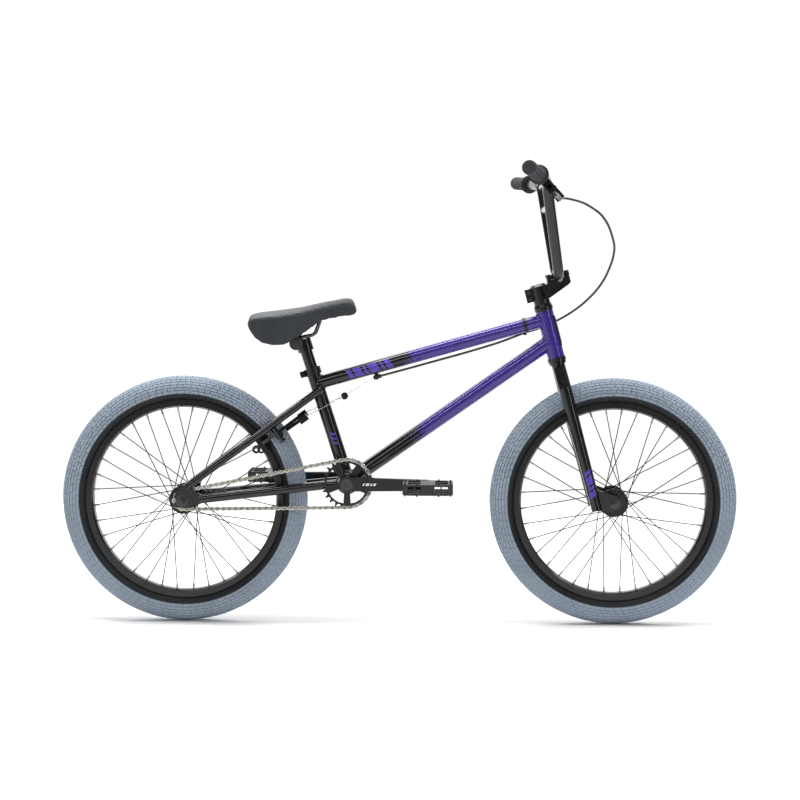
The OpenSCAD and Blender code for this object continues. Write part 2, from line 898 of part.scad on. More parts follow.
// Clamp and body of the brake lever, with the cable's barrel adjuster
module brake_perch() color("black")
    lever_frame() {
        difference() {
            union() {
                translate([0, 0, -7])
                    cylinder(h = 14, r = 15);
                translate([0, 9, 0])
                    rotate([90, 0, 0])
                        linear_extrude(height = 18)
                            polygon([
                                [8, -7], [30, -12], [50, -17], [61, -17], [61, -9], [44, -9],
                                [44, 9], [30, 9], [8, 7]
                            ]);
                translate([barrel_x, 0, -30])
                    cylinder(h = 14, r = 4.6);
            }
            translate([0, 0, -20])
                cylinder(h = 60, r = bar_r + 0.02);
            // Slot that the lever turns in
            translate([26, -4.3, -8.5])
                cube([50, 8.6, 40]);
            translate([barrel_x, 0, -40])
                cylinder(h = 60, r = 1.2);
        }
        translate([lever_x, -10, 0])
            rotate([-90, 0, 0])
                cylinder(h = 20, r = 2.5);
    }

module brake_lever() color("black")
    lever_frame()
        difference() {
            union() {
                translate([lever_x, 4, 0])
                    rotate([90, 0, 0])
                        cylinder(h = 8, r = 7);
                translate([0, 4, 0])
                    rotate([90, 0, 0])
                        linear_extrude(height = 8)
                            polygon([
                                [32, 4], [34, -6.5], [60, -7], [65, 2], [66, 16], [64, 40],
                                [65, 95], [69, 112], [66, 117], [61, 113], [57, 96], [56, 42],
                                [52, 22], [42, 9]
                            ]);
            }
            translate([lever_x, 20, 0])
                rotate([90, 0, 0])
                    cylinder(h = 40, r = 2.5 + fit);
        }

// ---- Wheels ----

module tyre(p) {
    side_frame(p)
        rotate_extrude($fn = wheel_fn)
            difference() {
                translate([wheel_r - tyre_r, 0])
                    circle(r = tyre_r);
                translate([wheel_r - tyre_r, 0])
                    circle(r = tyre_r - 3.5);
                translate([190, -8])
                    square([26, 16]);
            }
}

module rim(p) {
    side_frame(p)
        rotate_extrude($fn = wheel_fn)
            difference() {
                polygon([
                    [194, -10], [197.5, -16], [209, -16], [209, -13.4], [203, -13.4],
                    [203, 13.4], [209, 13.4], [209, 16], [197.5, 16], [194, 10]
                ]);
                polygon([
                    [196, -8.5], [199, -13], [201, -13], [201, 13], [199, 13], [196, 8.5]
                ]);
            }
}

hub_flange_y = 33;
hub_flange_r = 30;
spoke_circle = 25.5;
lacing = 60;

// Hook of the spoke in its flange, the spoke, and the nipple at the rim
module spoke(side, hub_angle, turn_dir) {
    rim_angle = hub_angle + turn_dir * lacing;
    elbow = turn_dir > 0 ? 4.2 : 2.8;
    face = hub_flange_y + turn_dir * elbow;
    a = [spoke_circle * cos(hub_angle), spoke_circle * sin(hub_angle), side * face];
    b = [193.9 * cos(rim_angle), 193.9 * sin(rim_angle), side * 3];
    d = unit(b - a);
    union() {
        rod(a - spoke_r * d, b - 5 * d, spoke_r);
        translate([a[0], a[1], side * (hub_flange_y - turn_dir * 2.6)])
            rotate([0, side * turn_dir > 0 ? 0 : 180, 0])
                cylinder(h = 2.6 + elbow, r = spoke_r);
        translate([a[0], a[1], side * (hub_flange_y - turn_dir * 2.2)])
            cylinder(h = 1, r = 1.9, center = true);
    }
    rod(b - 10 * d, b - 0.4 * d, 2.1);
}

module spokes(p) {
    per_side = spoke_count / 2;
    side_frame(p)
        for (side = [-1, 1], i = [0 : per_side - 1])
            spoke(side, i * 360 / per_side + side * 90 / per_side, i % 2 == 0 ? 1 : -1);
}

module hub(p, half) {
    per_side = spoke_count / 2;
    side_frame(p)
        difference() {
            union() {
                translate([0, 0, -half])
                    cylinder(h = 2 * half, r = 16);
                for (side = [-1, 1]) {
                    translate([0, 0, side * hub_flange_y])
                        cylinder(h = 2.6, r = hub_flange_r, center = true);
                    translate([0, 0, side * (hub_flange_y - 3)])
                        cylinder(h = 5, r = 20, center = true);
                }
            }
            translate([0, 0, -half - 1])
                cylinder(h = 2 * half + 2, r = axle_r + 3);
            for (side = [-1, 1])
                translate([0, 0, side * (half - 5)])
                    cylinder(h = 10.02, r = 13, center = true);
            for (side = [-1, 1], i = [0 : per_side - 1])
                rotate([0, 0, i * 360 / per_side + side * 90 / per_side])
                    translate([spoke_circle, 0, side * hub_flange_y])
                        cylinder(h = 4, r = spoke_r + 0.1, center = true);
        }
}

// Two bearing rings, one at each end of a hub
module hub_bearings(p, half) {
    side_frame(p)
        for (side = [0, 1])
            mirror([0, 0, side])
                ring(axle_r + fit, 12.98, half - 9.8, half - 1);
}

front_hub_half = 44;
rear_hub_half = 39.8;

module front_tyre() color("slategray")
    tyre(front_axle_pt);

module front_rim() color("black")
    rim(front_axle_pt);

module front_spokes() color("dimgray")
    spokes(front_axle_pt);

module front_hub() color("black")
    hub(front_axle_pt, front_hub_half);

module front_hub_bearings() color("silver")
    hub_bearings(front_axle_pt, front_hub_half);

module rear_tyre() color("slategray")
    tyre(rear_axle_pt);

module rear_rim() color("black")
    rim(rear_axle_pt);

module rear_spokes() color("dimgray")
    spokes(rear_axle_pt);

module rear_hub() color("black")
    hub(rear_axle_pt, rear_hub_half);

module rear_hub_bearings() color("silver")
    hub_bearings(rear_axle_pt, rear_hub_half);

// ---- Cranks and pedals ----

// Crank arm with its outer face flaring away from the frame towards the pedal
module crank_arm(boss_in) {
    difference() {
        union() {
            intersection() {
                translate([0, 100, 0])
                    rotate([90, 0, 0])
                        linear_extrude(height = 100)
                            polygon([
                                [0, -15], [crank_len, -11.5], [crank_len + 9, -9],
                                [crank_len + 13, 0], [crank_len + 9, 9], [crank_len, 11.5], [0, 15]
                            ]);
                translate([0, 0, -50])
                    linear_extrude(height = 100)
                        polygon([
                            [-40, crank_in], [20, crank_in], [crank_len - 16, crank_in + crank_flare],
                            [crank_len + 40, crank_in + crank_flare],
                            [crank_len + 40, crank_in + crank_flare + crank_t],
                            [crank_len - 16, crank_in + crank_flare + crank_t],
                            [20, crank_in + crank_t + 1], [-40, crank_in + crank_t + 1]
                        ]);
            }
            translate([0, boss_in, 0])
                rotate([-90, 0, 0])
                    cylinder(h = crank_in + crank_t + 1.5 - boss_in, r = 16.5);
        }
        translate([0, 30, 0])
            rotate([-90, 0, 0])
                cylinder(h = 60, r = spindle_r + 0.02);
        translate([crank_len, 30, 0])
            rotate([-90, 0, 0])
                cylinder(h = 80, r = pedal_axle_r + 1.12);
    }
}

module crank_arm_right() color("black")
    translate(bb_pt)
        mirror([0, 1, 0])
            crank_arm(chain_line + 1.45);

module crank_arm_left() color("black")
    translate(bb_pt)
        rotate([0, 180, 0])
            crank_arm(44);

module crank_spindle() color("dimgray")
    side_frame(bb_pt) {
        translate([0, 0, -66.2])
            cylinder(h = 132.4, r = spindle_r);
        ring(spindle_r, 12.5, shell_half + 0.4, chain_line - 1.45);
        ring(spindle_r, 12.5, -43.95, -shell_half - 0.4);
        for (side = [0, 1])
            mirror([0, 0, side])
                translate([0, 0, crank_in + crank_t + 1.6])
                    difference() {
                        cylinder(h = 3, r = 13);
                        translate([0, 0, 1])
                            cylinder(h = 4, r = 5, $fn = 6);
                    }
    }

function pedal_pt(side) = bb_pt + [-side * crank_len, 0, 0];

module pedal_axles() color("dimgray")
    for (side = [-1, 1])
        translate(pedal_pt(side))
            mirror([0, side < 0 ? 1 : 0, 0])
                rotate([-90, 0, 0]) {
                    translate([0, 0, crank_in + crank_flare])
                        cylinder(h = crank_t + 0.2, r = pedal_axle_r + 1.1);
                    translate([0, 0, crank_in + crank_flare + crank_t + 0.05])
                        cylinder(h = 0.9, r = 9);
                    translate([0, 0, 60])
                        cylinder(h = pedal_in + pedal_w - 64, r = pedal_axle_r);
                }

pedal_h = 22;
pin_h = 2.5;

// Platform pedal about its own axle, from pedal_in outwards
module pedal() {
    half_l = pedal_l / 2;
    difference() {
        translate([0, pedal_in, 0])
            union() {
                translate([0, 0, -pedal_h / 2])
                    linear_extrude(height = pedal_h)
                        difference() {
                            polygon([
                                [-half_l + 14, 0], [half_l - 14, 0], [half_l, 12], [half_l, pedal_w - 12],
                                [half_l - 12, pedal_w], [-half_l + 12, pedal_w],
                                [-half_l, pedal_w - 12], [-half_l, 12]
                            ]);
                            for (s = [-1, 1]) {
                                translate([s * 28 - 13, 10])
                                    square([26, pedal_w / 2 - 13]);
                                translate([s * 28 - 13, pedal_w / 2 + 3])
                                    square([26, pedal_w / 2 - 13]);
                            }
                        }
                rotate([-90, 0, 0])
                    cylinder(h = pedal_w, r = 10.5);
            }
        translate([0, 40, 0])
            rotate([-90, 0, 0])
                cylinder(h = pedal_w + 31, r = pedal_axle_r + fit);
        // Windows through both ends, one each side of a rib
        for (s = [-1, 1], x = [19.7, 34.7])
            translate([s * x, pedal_in + pedal_w / 2, 0])
                cube([12.6, 2 * pedal_w, 14], center = true);
        // Windows through the front and rear edges
        for (y = [14, 36, 58])
            translate([0, pedal_in + y + 10, 0])
                for (s = [-1, 1])
                    translate([s * half_l, 0, 0])
                        cube([30, 17, 10], center = true);
    }
    // Grip pins round both faces
    for (face = [-1, 1], s = [-1, 1], y = [12, 35, 60, 83])
        translate([s * (half_l - 5), pedal_in + y, face * (pedal_h / 2 + pin_h / 2 - 0.1)])
            cylinder(h = pin_h + 0.2, r = 1.8, center = true);
    for (face = [-1, 1], s = [-1, 1], y = [5, pedal_w - 5])
        translate([s * 22, pedal_in + y, face * (pedal_h / 2 + pin_h / 2 - 0.1)])
            cylinder(h = pin_h + 0.2, r = 1.8, center = true);
}

module pedal_left() color("darkslategray")
    translate(pedal_pt(1))
        pedal();

module pedal_right() color("darkslategray")
    translate(pedal_pt(-1))
        mirror([0, 1, 0])
            pedal();

// ---- Seat ----

post_top = 305;
band_top = 315;

module seat_post() color("black")
    seat_frame()
        ring(post_r - 2, post_r, post_top - post_len, post_top);

// Band round the post's head with the lug that the clamp bolt goes through
module saddle_clamp() color("black")
    difference() {
        union() {
            rod(seat_at(289), seat_at(band_top), 17);
            rod(bolt_pt - [0, 17, 0], bolt_pt + [0, 17, 0], 11);
        }
        rod(seat_at(250), seat_at(band_top + 20), post_r + 0.02);
        rod(bolt_pt - [0, 30, 0], bolt_pt + [0, 30, 0], 4 + fit);
    }

rail_path = [
    [-166, -12, 641], [-178, -22, 608], [-240, -22, 596], [-289, -26, 626]
];

module rail_solid(r) {
    pipe(rail_path, 14, r);
}

module saddle_rails() color("dimgray")
    both_sides()
        rail_solid(rail_r);

// Toothed washers that grip the rails, and the bolt through them
module rail_clamp() color("dimgray") {
    both_sides()
        difference() {
            rod(bolt_pt + [0, 17.4, 0], bolt_pt + [0, 30, 0], 14);
            mirror([0, 1, 0])
                rail_solid(rail_r + 0.05);
            rod(bolt_pt, bolt_pt + [0, 60, 0], 4.02);
        }
    rod(bolt_pt - [0, 36, 0], bolt_pt + [0, 36, 0], 4);
    both_sides()
        rod(bolt_pt + [0, 30.05, 0], bolt_pt + [0, 36, 0], 8);
}

// Side profile of the padded top, and of the space under it
pad_side = [
    [-317, 634], [-314, 649], [-295, 654], [-242, 660], [-205, 665], [-165, 675], [-117, 685],
    [-104, 686], [-97, 681], [-89, 660], [-95, 650], [-142, 642], [-163, 637], [-194, 616],
    [-226, 593], [-240, 588], [-263, 587], [-284, 592], [-299, 602], [-311, 617]
];
pad_hollow = [
    [-330, 560], [-308, 628], [-240, 637], [-165, 652], [-112, 661.2], [-108, 640], [-108, 560]
];
// Half outline seen from above, nose to tail
pad_plan = [
    [-80, 0], [-88, 13], [-100, 19], [-150, 23], [-185, 33], [-225, 56], [-255, 68], [-285, 70],
    [-306, 62], [-318, 44], [-322, 22], [-323, 0]
];

function mirror_plan(p) = concat(p, [for (i = [len(p) - 2 : -1 : 1]) [p[i][0], -p[i][1]]]);
function shrink_plan(p, k) = [for (q = p) [-200 + (q[0] + 200) * k, q[1] * k * k]];

module saddle_prism(outline) {
    translate([0, 100, 0])
        rotate([90, 0, 0])
            linear_extrude(height = 200)
                polygon(outline);
}

module saddle_pad() color("dimgray")
    difference() {
        intersection() {
            saddle_prism(pad_side);
            translate([0, 0, 500])
                linear_extrude(height = 300)
                    polygon(mirror_plan(pad_plan));
        }
        intersection() {
            saddle_prism(pad_hollow);
            translate([0, 0, 500])
                linear_extrude(height = 300)
                    polygon(mirror_plan(shrink_plan(pad_plan, 0.9)));
        }
    }

// Moulded base plate under the padding
module saddle_base() color("black")
    difference() {
        intersection() {
            saddle_prism([
                [-303, 628.2], [-240, 636.6], [-165, 651.6], [-114, 659.9], [-114, 655.9],
                [-165, 647.6], [-240, 632.6], [-303, 624.2]
            ]);
            translate([0, 0, 500])
                linear_extrude(height = 300)
                    polygon(mirror_plan(shrink_plan(pad_plan, 0.895)));
        }
        both_sides()
            rail_solid(rail_r + 0.05);
    }

// ---- Rear brake ----

function arm_tip(side) = stay_foot + 286 * stay_dir + [0, side * 21, 0]
    + (side < 0 ? -27.5 : -20) * cross(stay_dir, [0, 1, 0]);

function wire_dir(side) = unit(wire_start(side) - arm_tip(side));

// Arm from its pad on one side, round its pivot and over the tyre to the other side
module brake_arm(side) {
    low = side < 0 ? -23.5 : -31;
    difference() {
        stay_frame()
            mirror([0, side < 0 ? 1 : 0, 0])
                difference() {
                    union() {
                        translate([0, 0, low])
                            linear_extrude(height = 7)
                                polygon([
                                    [pad_s - 9, 29], [pad_s - 8, 38], [brake_s, brake_y + 9],
                                    [brake_s + 22, 38], [brake_s + 42, 16], [290, -12],
                                    [291, -27], [282, -28], [280, -20], [brake_s + 32, 6],
                                    [brake_s + 12, 27], [brake_s, 29], [pad_s + 8, 29]
                                ]);
                        translate([brake_s, brake_y, -34])
                            cylinder(h = 18, r = 8.5);
                        // Block that holds the wire
                        translate([272, -27.5, low - 5])
                            cube([20, 13, 14]);
                        // Eye at the tail
                        translate([pad_s - 13, 36, low + 1])
                            rotate([90, 0, 0])
                                cylinder(h = 6.5, r = 8.5);
                        // Rubber pad on its stud
                        translate([pad_s, 19, low + 3.5])
                            rotate([-90, 0, 0])
                                cylinder(h = 22, r = 4);
                        translate([pad_s - 5.5, 18.2, low - 16])
                            cube([11, 7, 40]);
                    }
                    translate([brake_s, brake_y, -60])
                        cylinder(h = 80, r = 4 + fit);
                    translate([pad_s - 13, 40, low + 1])
                        rotate([90, 0, 0])
                            cylinder(h = 20, r = 4);
                }
        rod(arm_tip(-side) - wire_dir(-side), wire_start(-side), wire_r + fit);
    }
}

module brake_arm_right() color("dimgray")
    brake_arm(-1);

module brake_arm_left() color("dimgray")
    brake_arm(1);

// Yoke that joins the brake wire to the two straddle wires
module cable_hanger() color("black") {
    d = unit(hanger_pt - wire_bend);
    frame_at(hanger_pt - 3 * d, d, [0, 1, 0]) {
        difference() {
            union() {
                translate([-13, -5, 0])
                    cube([26, 10, 6]);
                translate([-6, 0, 3])
                    rotate([0, 90, 0])
                        cylinder(h = 12, r = 7.4);
            }
            translate([0, 0, -10])
                cylinder(h = 13, r = 1);
        }
    }
}

// ---- Output ----

head_tube();
top_tube();
down_tube();
seat_tube();
bottom_bracket_shell();
chain_stays();
seat_stays();
rear_dropouts();
stay_bridges();
brake_bosses();
cable_guides();
seat_clamp();
headset_cups();
frame_bearings();
rear_axle();
chain();
brake_cable();
brake_wire();
fork_steerer();
fork_legs();
fork_dropouts();
headset_spacers();
stem_body();
stem_cap();
stem_bolts();
top_cap();
handlebar();
crossbar();
grip_right();
grip_left();
brake_perch();
front_axle();
front_tyre();
front_rim();
front_spokes();
front_hub();
front_hub_bearings();
rear_tyre();
rear_rim();
rear_spokes();
rear_hub();
rear_hub_bearings();
driver_cog();
crank_arm_right();
crank_arm_left();
crank_spindle();
sprocket();
pedal_right();
pedal_left();
pedal_axles();
seat_post();
saddle_clamp();
rail_clamp();
saddle_rails();
saddle_base();
saddle_pad();
brake_lever();
brake_arm_right();
brake_arm_left();
cable_hanger();
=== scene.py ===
import math
import random

import bpy
import numpy as np
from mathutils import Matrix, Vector


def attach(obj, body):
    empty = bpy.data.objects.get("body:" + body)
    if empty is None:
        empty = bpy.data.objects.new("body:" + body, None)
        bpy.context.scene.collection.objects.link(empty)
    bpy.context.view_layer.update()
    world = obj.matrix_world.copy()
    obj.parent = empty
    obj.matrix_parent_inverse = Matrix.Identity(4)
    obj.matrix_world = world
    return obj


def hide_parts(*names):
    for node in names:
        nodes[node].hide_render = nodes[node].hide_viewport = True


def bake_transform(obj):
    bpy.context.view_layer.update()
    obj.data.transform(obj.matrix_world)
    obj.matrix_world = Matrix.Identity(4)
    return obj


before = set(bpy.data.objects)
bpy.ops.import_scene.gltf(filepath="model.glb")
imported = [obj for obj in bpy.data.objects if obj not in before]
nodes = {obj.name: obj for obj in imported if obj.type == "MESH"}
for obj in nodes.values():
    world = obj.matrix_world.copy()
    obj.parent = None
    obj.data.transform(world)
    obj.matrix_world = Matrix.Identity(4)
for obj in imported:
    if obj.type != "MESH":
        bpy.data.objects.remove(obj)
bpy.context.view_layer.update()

MM = 0.001
PI = math.pi
rad = math.radians


def arr(*v):
    return np.array(v, float)


def unit(v):
    v = np.array(v, float)
    return v / np.linalg.norm(v)


# ---- Materials ----

def new_mat(name):
    m = bpy.data.materials.new(name)
    m.use_nodes = True
    nt = m.node_tree
    return m, nt, nt.nodes["Principled BSDF"]


def noise_bump(nt, bsdf, scale, strength, distance=0.0002, detail=4.0, coord="Object"):
    tc = nt.nodes.new("ShaderNodeTexCoord")
    nz = nt.nodes.new("ShaderNodeTexNoise")
    nz.inputs["Scale"].default_value = scale
    nz.inputs["Detail"].default_value = detail
    bp = nt.nodes.new("ShaderNodeBump")
    bp.inputs["Strength"].default_value = strength
    bp.inputs["Distance"].default_value = distance
    nt.links.new(tc.outputs[coord], nz.inputs["Vector"])
    nt.links.new(nz.outputs["Fac"], bp.inputs["Height"])
    nt.links.new(bp.outputs["Normal"], bsdf.inputs["Normal"])
    return tc, nz


def rough_from_noise(nt, bsdf, nz, low, high):
    mr = nt.nodes.new("ShaderNodeMapRange")
    mr.inputs["From Min"].default_value = 0.3
    mr.inputs["From Max"].default_value = 0.7
    mr.inputs["To Min"].default_value = low
    mr.inputs["To Max"].default_value = high
    nt.links.new(nz.outputs["Fac"], mr.inputs["Value"])
    nt.links.new(mr.outputs["Result"], bsdf.inputs["Roughness"])


def solid(name, color, rough, metallic=0.0, coat=0.0, bump=0.0, scale=300.0, spread=0.05,
          distance=0.0002, specular=0.5):
    m, nt, b = new_mat(name)
    b.inputs["Base Color"].default_value = (*color, 1)
    b.inputs["Roughness"].default_value = rough
    b.inputs["Metallic"].default_value = metallic
    b.inputs["Coat Weight"].default_value = coat
    b.inputs["Coat Roughness"].default_value = 0.06
    b.inputs["Specular IOR Level"].default_value = specular
    if bump:
        noise_bump(nt, b, scale, bump, distance)
    tc = nt.nodes.new("ShaderNodeTexCoord")
    wear = nt.nodes.new("ShaderNodeTexNoise")
    wear.inputs["Scale"].default_value = 28.0
    nt.links.new(tc.outputs["Object"], wear.inputs["Vector"])
    rough_from_noise(nt, b, wear, rough - spread, rough + spread)
    return m


BLACK = (0.003, 0.003, 0.0035)
PURPLE = (0.040, 0.019, 0.215)


def paint(name, color, other=None, fade=None):
    """Gloss paint over a fine flake; it turns into another colour along X between fade's two values."""
    m, nt, b = new_mat(name)
    b.inputs["Roughness"].default_value = 0.45
    b.inputs["Specular IOR Level"].default_value = 0.08
    b.inputs["Coat Weight"].default_value = 1.0
    b.inputs["Coat Roughness"].default_value = 0.07
    tc = nt.nodes.new("ShaderNodeTexCoord")
    peel = nt.nodes.new("ShaderNodeTexNoise")
    peel.inputs["Scale"].default_value = 90.0
    bp = nt.nodes.new("ShaderNodeBump")
    bp.inputs["Strength"].default_value = 0.015
    bp.inputs["Distance"].default_value = 0.0002
    nt.links.new(tc.outputs["Object"], peel.inputs["Vector"])
    nt.links.new(peel.outputs["Fac"], bp.inputs["Height"])
    nt.links.new(bp.outputs["Normal"], b.inputs["Coat Normal"])
    flake = nt.nodes.new("ShaderNodeTexNoise")
    flake.inputs["Scale"].default_value = 2600.0
    ramp = nt.nodes.new("ShaderNodeMapRange")
    ramp.inputs["From Min"].default_value = 0.35
    ramp.inputs["From Max"].default_value = 0.75
    ramp.inputs["To Min"].default_value = 0.85
    ramp.inputs["To Max"].default_value = 1.35
    nt.links.new(tc.outputs["Object"], flake.inputs["Vector"])
    nt.links.new(flake.outputs["Fac"], ramp.inputs["Value"])
    mul = nt.nodes.new("ShaderNodeVectorMath")
    mul.operation = "SCALE"
    nt.links.new(ramp.outputs["Result"], mul.inputs["Scale"])
    if other is None:
        mul.inputs[0].default_value = color
    else:
        sep = nt.nodes.new("ShaderNodeSeparateXYZ")
        mr = nt.nodes.new("ShaderNodeMapRange")
        mr.interpolation_type = "SMOOTHSTEP"
        mr.inputs["From Min"].default_value = fade[0]
        mr.inputs["From Max"].default_value = fade[1]
        mix = nt.nodes.new("ShaderNodeMix")
        mix.data_type = "RGBA"
        mix.inputs["A"].default_value = (*color, 1)
        mix.inputs["B"].default_value = (*other, 1)
        nt.links.new(tc.outputs["Object"], sep.inputs["Vector"])
        nt.links.new(sep.outputs["X"], mr.inputs["Value"])
        nt.links.new(mr.outputs["Result"], mix.inputs["Factor"])
        nt.links.new(mix.outputs["Result"], mul.inputs[0])
    nt.links.new(mul.outputs["Vector"], b.inputs["Base Color"])
    return m


def tyre_rubber(name, color, dark, rough):
    m, nt, b = new_mat(name)
    b.inputs["Roughness"].default_value = rough
    b.inputs["Specular IOR Level"].default_value = 0.3
    tc, nz = noise_bump(nt, b, 900.0, 0.25, 0.0002)
    big = nt.nodes.new("ShaderNodeTexNoise")
    big.inputs["Scale"].default_value = 18.0
    mix = nt.nodes.new("ShaderNodeMix")
    mix.data_type = "RGBA"
    mix.inputs["A"].default_value = (*color, 1)
    mix.inputs["B"].default_value = (*dark, 1)
    mr = nt.nodes.new("ShaderNodeMapRange")
    mr.inputs["From Min"].default_value = 0.35
    mr.inputs["From Max"].default_value = 0.75
    nt.links.new(tc.outputs["Object"], big.inputs["Vector"])
    nt.links.new(big.outputs["Fac"], mr.inputs["Value"])
    nt.links.new(mr.outputs["Result"], mix.inputs["Factor"])
    nt.links.new(mix.outputs["Result"], b.inputs["Base Color"])
    return m


def leather(name, color):
    m, nt, b = new_mat(name)
    b.inputs["Base Color"].default_value = (*color, 1)
    b.inputs["Roughness"].default_value = 0.55
    b.inputs["Specular IOR Level"].default_value = 0.4
    tc = nt.nodes.new("ShaderNodeTexCoord")
    vo = nt.nodes.new("ShaderNodeTexVoronoi")
    vo.feature = "DISTANCE_TO_EDGE"
    vo.inputs["Scale"].default_value = 650.0
    bp = nt.nodes.new("ShaderNodeBump")
    bp.inputs["Strength"].default_value = 0.35
    bp.inputs["Distance"].default_value = 0.0003
    nt.links.new(tc.outputs["Object"], vo.inputs["Vector"])
    nt.links.new(vo.outputs["Distance"], bp.inputs["Height"])
    nt.links.new(bp.outputs["Normal"], b.inputs["Normal"])
    return m


M = {
    "black": paint("paint_black", BLACK),
    "purple": paint("paint_purple", PURPLE),
    "top_tube": paint("paint_top_tube", BLACK, PURPLE, (0.004, 0.034)),
    "down_tube": paint("paint_down_tube", BLACK, PURPLE, (0.022, 0.062)),
    "parts": solid("coat_black", (0.003, 0.003, 0.0035), 0.24, 0.0, 0.6,
                   0.0, 400, 0.04, specular=0.3),
    "alloy": solid("anodised_black", (0.006, 0.006, 0.007), 0.3, 0.0, 0.3,
                   0.0, 500, 0.04, specular=0.35),
    "satin": solid("satin_black", (0.007, 0.007, 0.008), 0.4, 0.0, 0.1, 0.05, 500, specular=0.35),
    "dark_steel": solid("dark_steel", (0.09, 0.09, 0.095), 0.33, 0.9, 0.0, 0.1, 700),
    "bright_steel": solid("bright_steel", (0.55, 0.55, 0.56), 0.25, 1.0, 0.0, 0.08, 700),
    "chain": solid("nickel_chain", (0.50, 0.48, 0.44), 0.27, 1.0, 0.0, 0.12, 500, 0.08),
    "chain_dark": solid("chain_rollers", (0.20, 0.19, 0.175), 0.35, 1.0, 0.0, 0.12, 500, 0.08),
    "spoke": solid("spoke_black", (0.02, 0.02, 0.022), 0.35, 0.6, 0.0, 0.03, 500),
    "tread": tyre_rubber("tread_blue_grey", (0.30, 0.355, 0.425), (0.265, 0.318, 0.385), 0.78),
    # The same blue-grey rubber as the tread, only darker: painted shade for the gaps between the tread
    # blocks
    "groove": tyre_rubber("tread_groove", (0.17, 0.21, 0.26), (0.15, 0.185, 0.23), 0.85),
    "sidewall": tyre_rubber("sidewall_black", (0.012, 0.013, 0.015), (0.009, 0.01, 0.012), 0.55),
    "grip": solid("grip_rubber", (0.028, 0.032, 0.038), 0.72, 0.0, 0.0, 0.5, 1400, 0.08, 0.0004),
    "flange": solid("grip_flange", (0.009, 0.009, 0.01), 0.45, 0.0, 0.0, 0.2, 900, 0.05),
    "nipple": solid("nipple_silver", (0.42, 0.42, 0.43), 0.35, 1.0, 0.0, 0.05, 500),
    "sheath": solid("cable_sheath", (0.02, 0.02, 0.022), 0.35, 0.0, 0.3, 0.03, 500),
    "plastic": solid("pedal_plastic", (0.018, 0.019, 0.021), 0.5, 0.0, 0.0, 0.35, 900, 0.08,
                     0.0003),
    "shell": solid("saddle_shell", (0.012, 0.012, 0.013), 0.5, 0.0, 0.0, 0.2, 700, 0.06),
    "cover": leather("saddle_leather", (0.026, 0.03, 0.036)),
    "thread": solid("seam_thread", (0.02, 0.022, 0.026), 0.7, 0.0, 0.0, 0.2, 2500, 0.05),
    "pad": solid("brake_pad", (0.02, 0.02, 0.02), 0.75, 0.0, 0.0, 0.3, 900, 0.08),
    "violet": solid("mark_violet", (0.085, 0.055, 0.42), 0.4, 0.0, 0.4, 0.0, 400, specular=0.2),
    "white": solid("mark_white", (0.8, 0.8, 0.8), 0.4, 0.0, 0.3, 0.03, 400),
    "badge": solid("badge_metal", (0.03, 0.03, 0.033), 0.28, 0.8, 0.3, 0.08, 500),
}

NODE_MATS = {
    "purple": ["head_tube"],
    "top_tube": ["top_tube"],
    "down_tube": ["down_tube"],
    "black": ["seat_tube", "bottom_bracket_shell", "chain_stays", "seat_stays", "rear_dropouts",
              "stay_bridges", "brake_bosses", "fork_steerer", "fork_legs", "fork_dropouts"],
    "parts": ["handlebar", "crossbar", "seat_post", "crank_arm_right", "crank_arm_left",
              "saddle_clamp", "brake_arm_right", "brake_arm_left"],
    "satin": ["brake_perch", "brake_lever", "cable_guides", "cable_hanger"],
    "alloy": ["seat_clamp", "headset_cups", "headset_spacers", "stem_body", "stem_cap", "top_cap",
              "front_rim", "rear_rim", "front_hub", "rear_hub", "sprocket"],
    "dark_steel": ["rear_axle", "front_axle", "stem_bolts", "driver_cog", "crank_spindle",
                   "pedal_axles", "rail_clamp", "saddle_rails"],
    "bright_steel": ["frame_bearings", "front_hub_bearings", "rear_hub_bearings", "brake_wire"],
    "spoke": ["front_spokes", "rear_spokes"],
    "plastic": ["pedal_right", "pedal_left"],
    "shell": ["saddle_base"],
}
BEVELS = {
    "stem_body": 1.2, "stem_cap": 1.0, "crank_arm_right": 1.6, "crank_arm_left": 1.6,
    "pedal_right": 0.9, "pedal_left": 0.9, "rear_dropouts": 0.8, "fork_dropouts": 0.8,
    "brake_perch": 1.0, "brake_lever": 1.2, "brake_arm_right": 1.0, "brake_arm_left": 1.0,
    "seat_clamp": 0.7, "cable_guides": 0.5, "cable_hanger": 0.7, "saddle_base": 0.8,
    "headset_cups": 0.4, "headset_spacers": 0.5, "top_cap": 0.5, "front_hub": 0.6,
    "rear_hub": 0.6, "stem_bolts": 0.4, "crank_spindle": 0.6, "sprocket": 0.3,
    "saddle_clamp": 0.8, "rail_clamp": 0.8, "front_axle": 0.4, "rear_axle": 0.4,
    "driver_cog": 0.3,
}


def bevel(ob, width, angle=32):
    b = ob.modifiers.new("edge", "BEVEL")
    b.width = width * MM
    b.segments = 2
    b.limit_method = "ANGLE"
    b.angle_limit = rad(angle)
    b.use_clamp_overlap = True
    b.harden_normals = False


for key, names in NODE_MATS.items():
    for n in names:
        ob = nodes[n]
        ob.data.materials.clear()
        ob.data.materials.append(M[key])
        if n in BEVELS:
            bevel(ob, BEVELS[n])

# Bright nipples where the spokes meet the rim
for n, x in (("front_spokes", 0.4525), ("rear_spokes", -0.4525)):
    nodes[n].data.materials.append(M["nipple"])
    for poly in nodes[n].data.polygons:
        c = poly.center
        poly.material_index = 1 if math.hypot(c.x - x, c.z - 0.26) > 0.1855 else 0

# ---- Mesh building ----


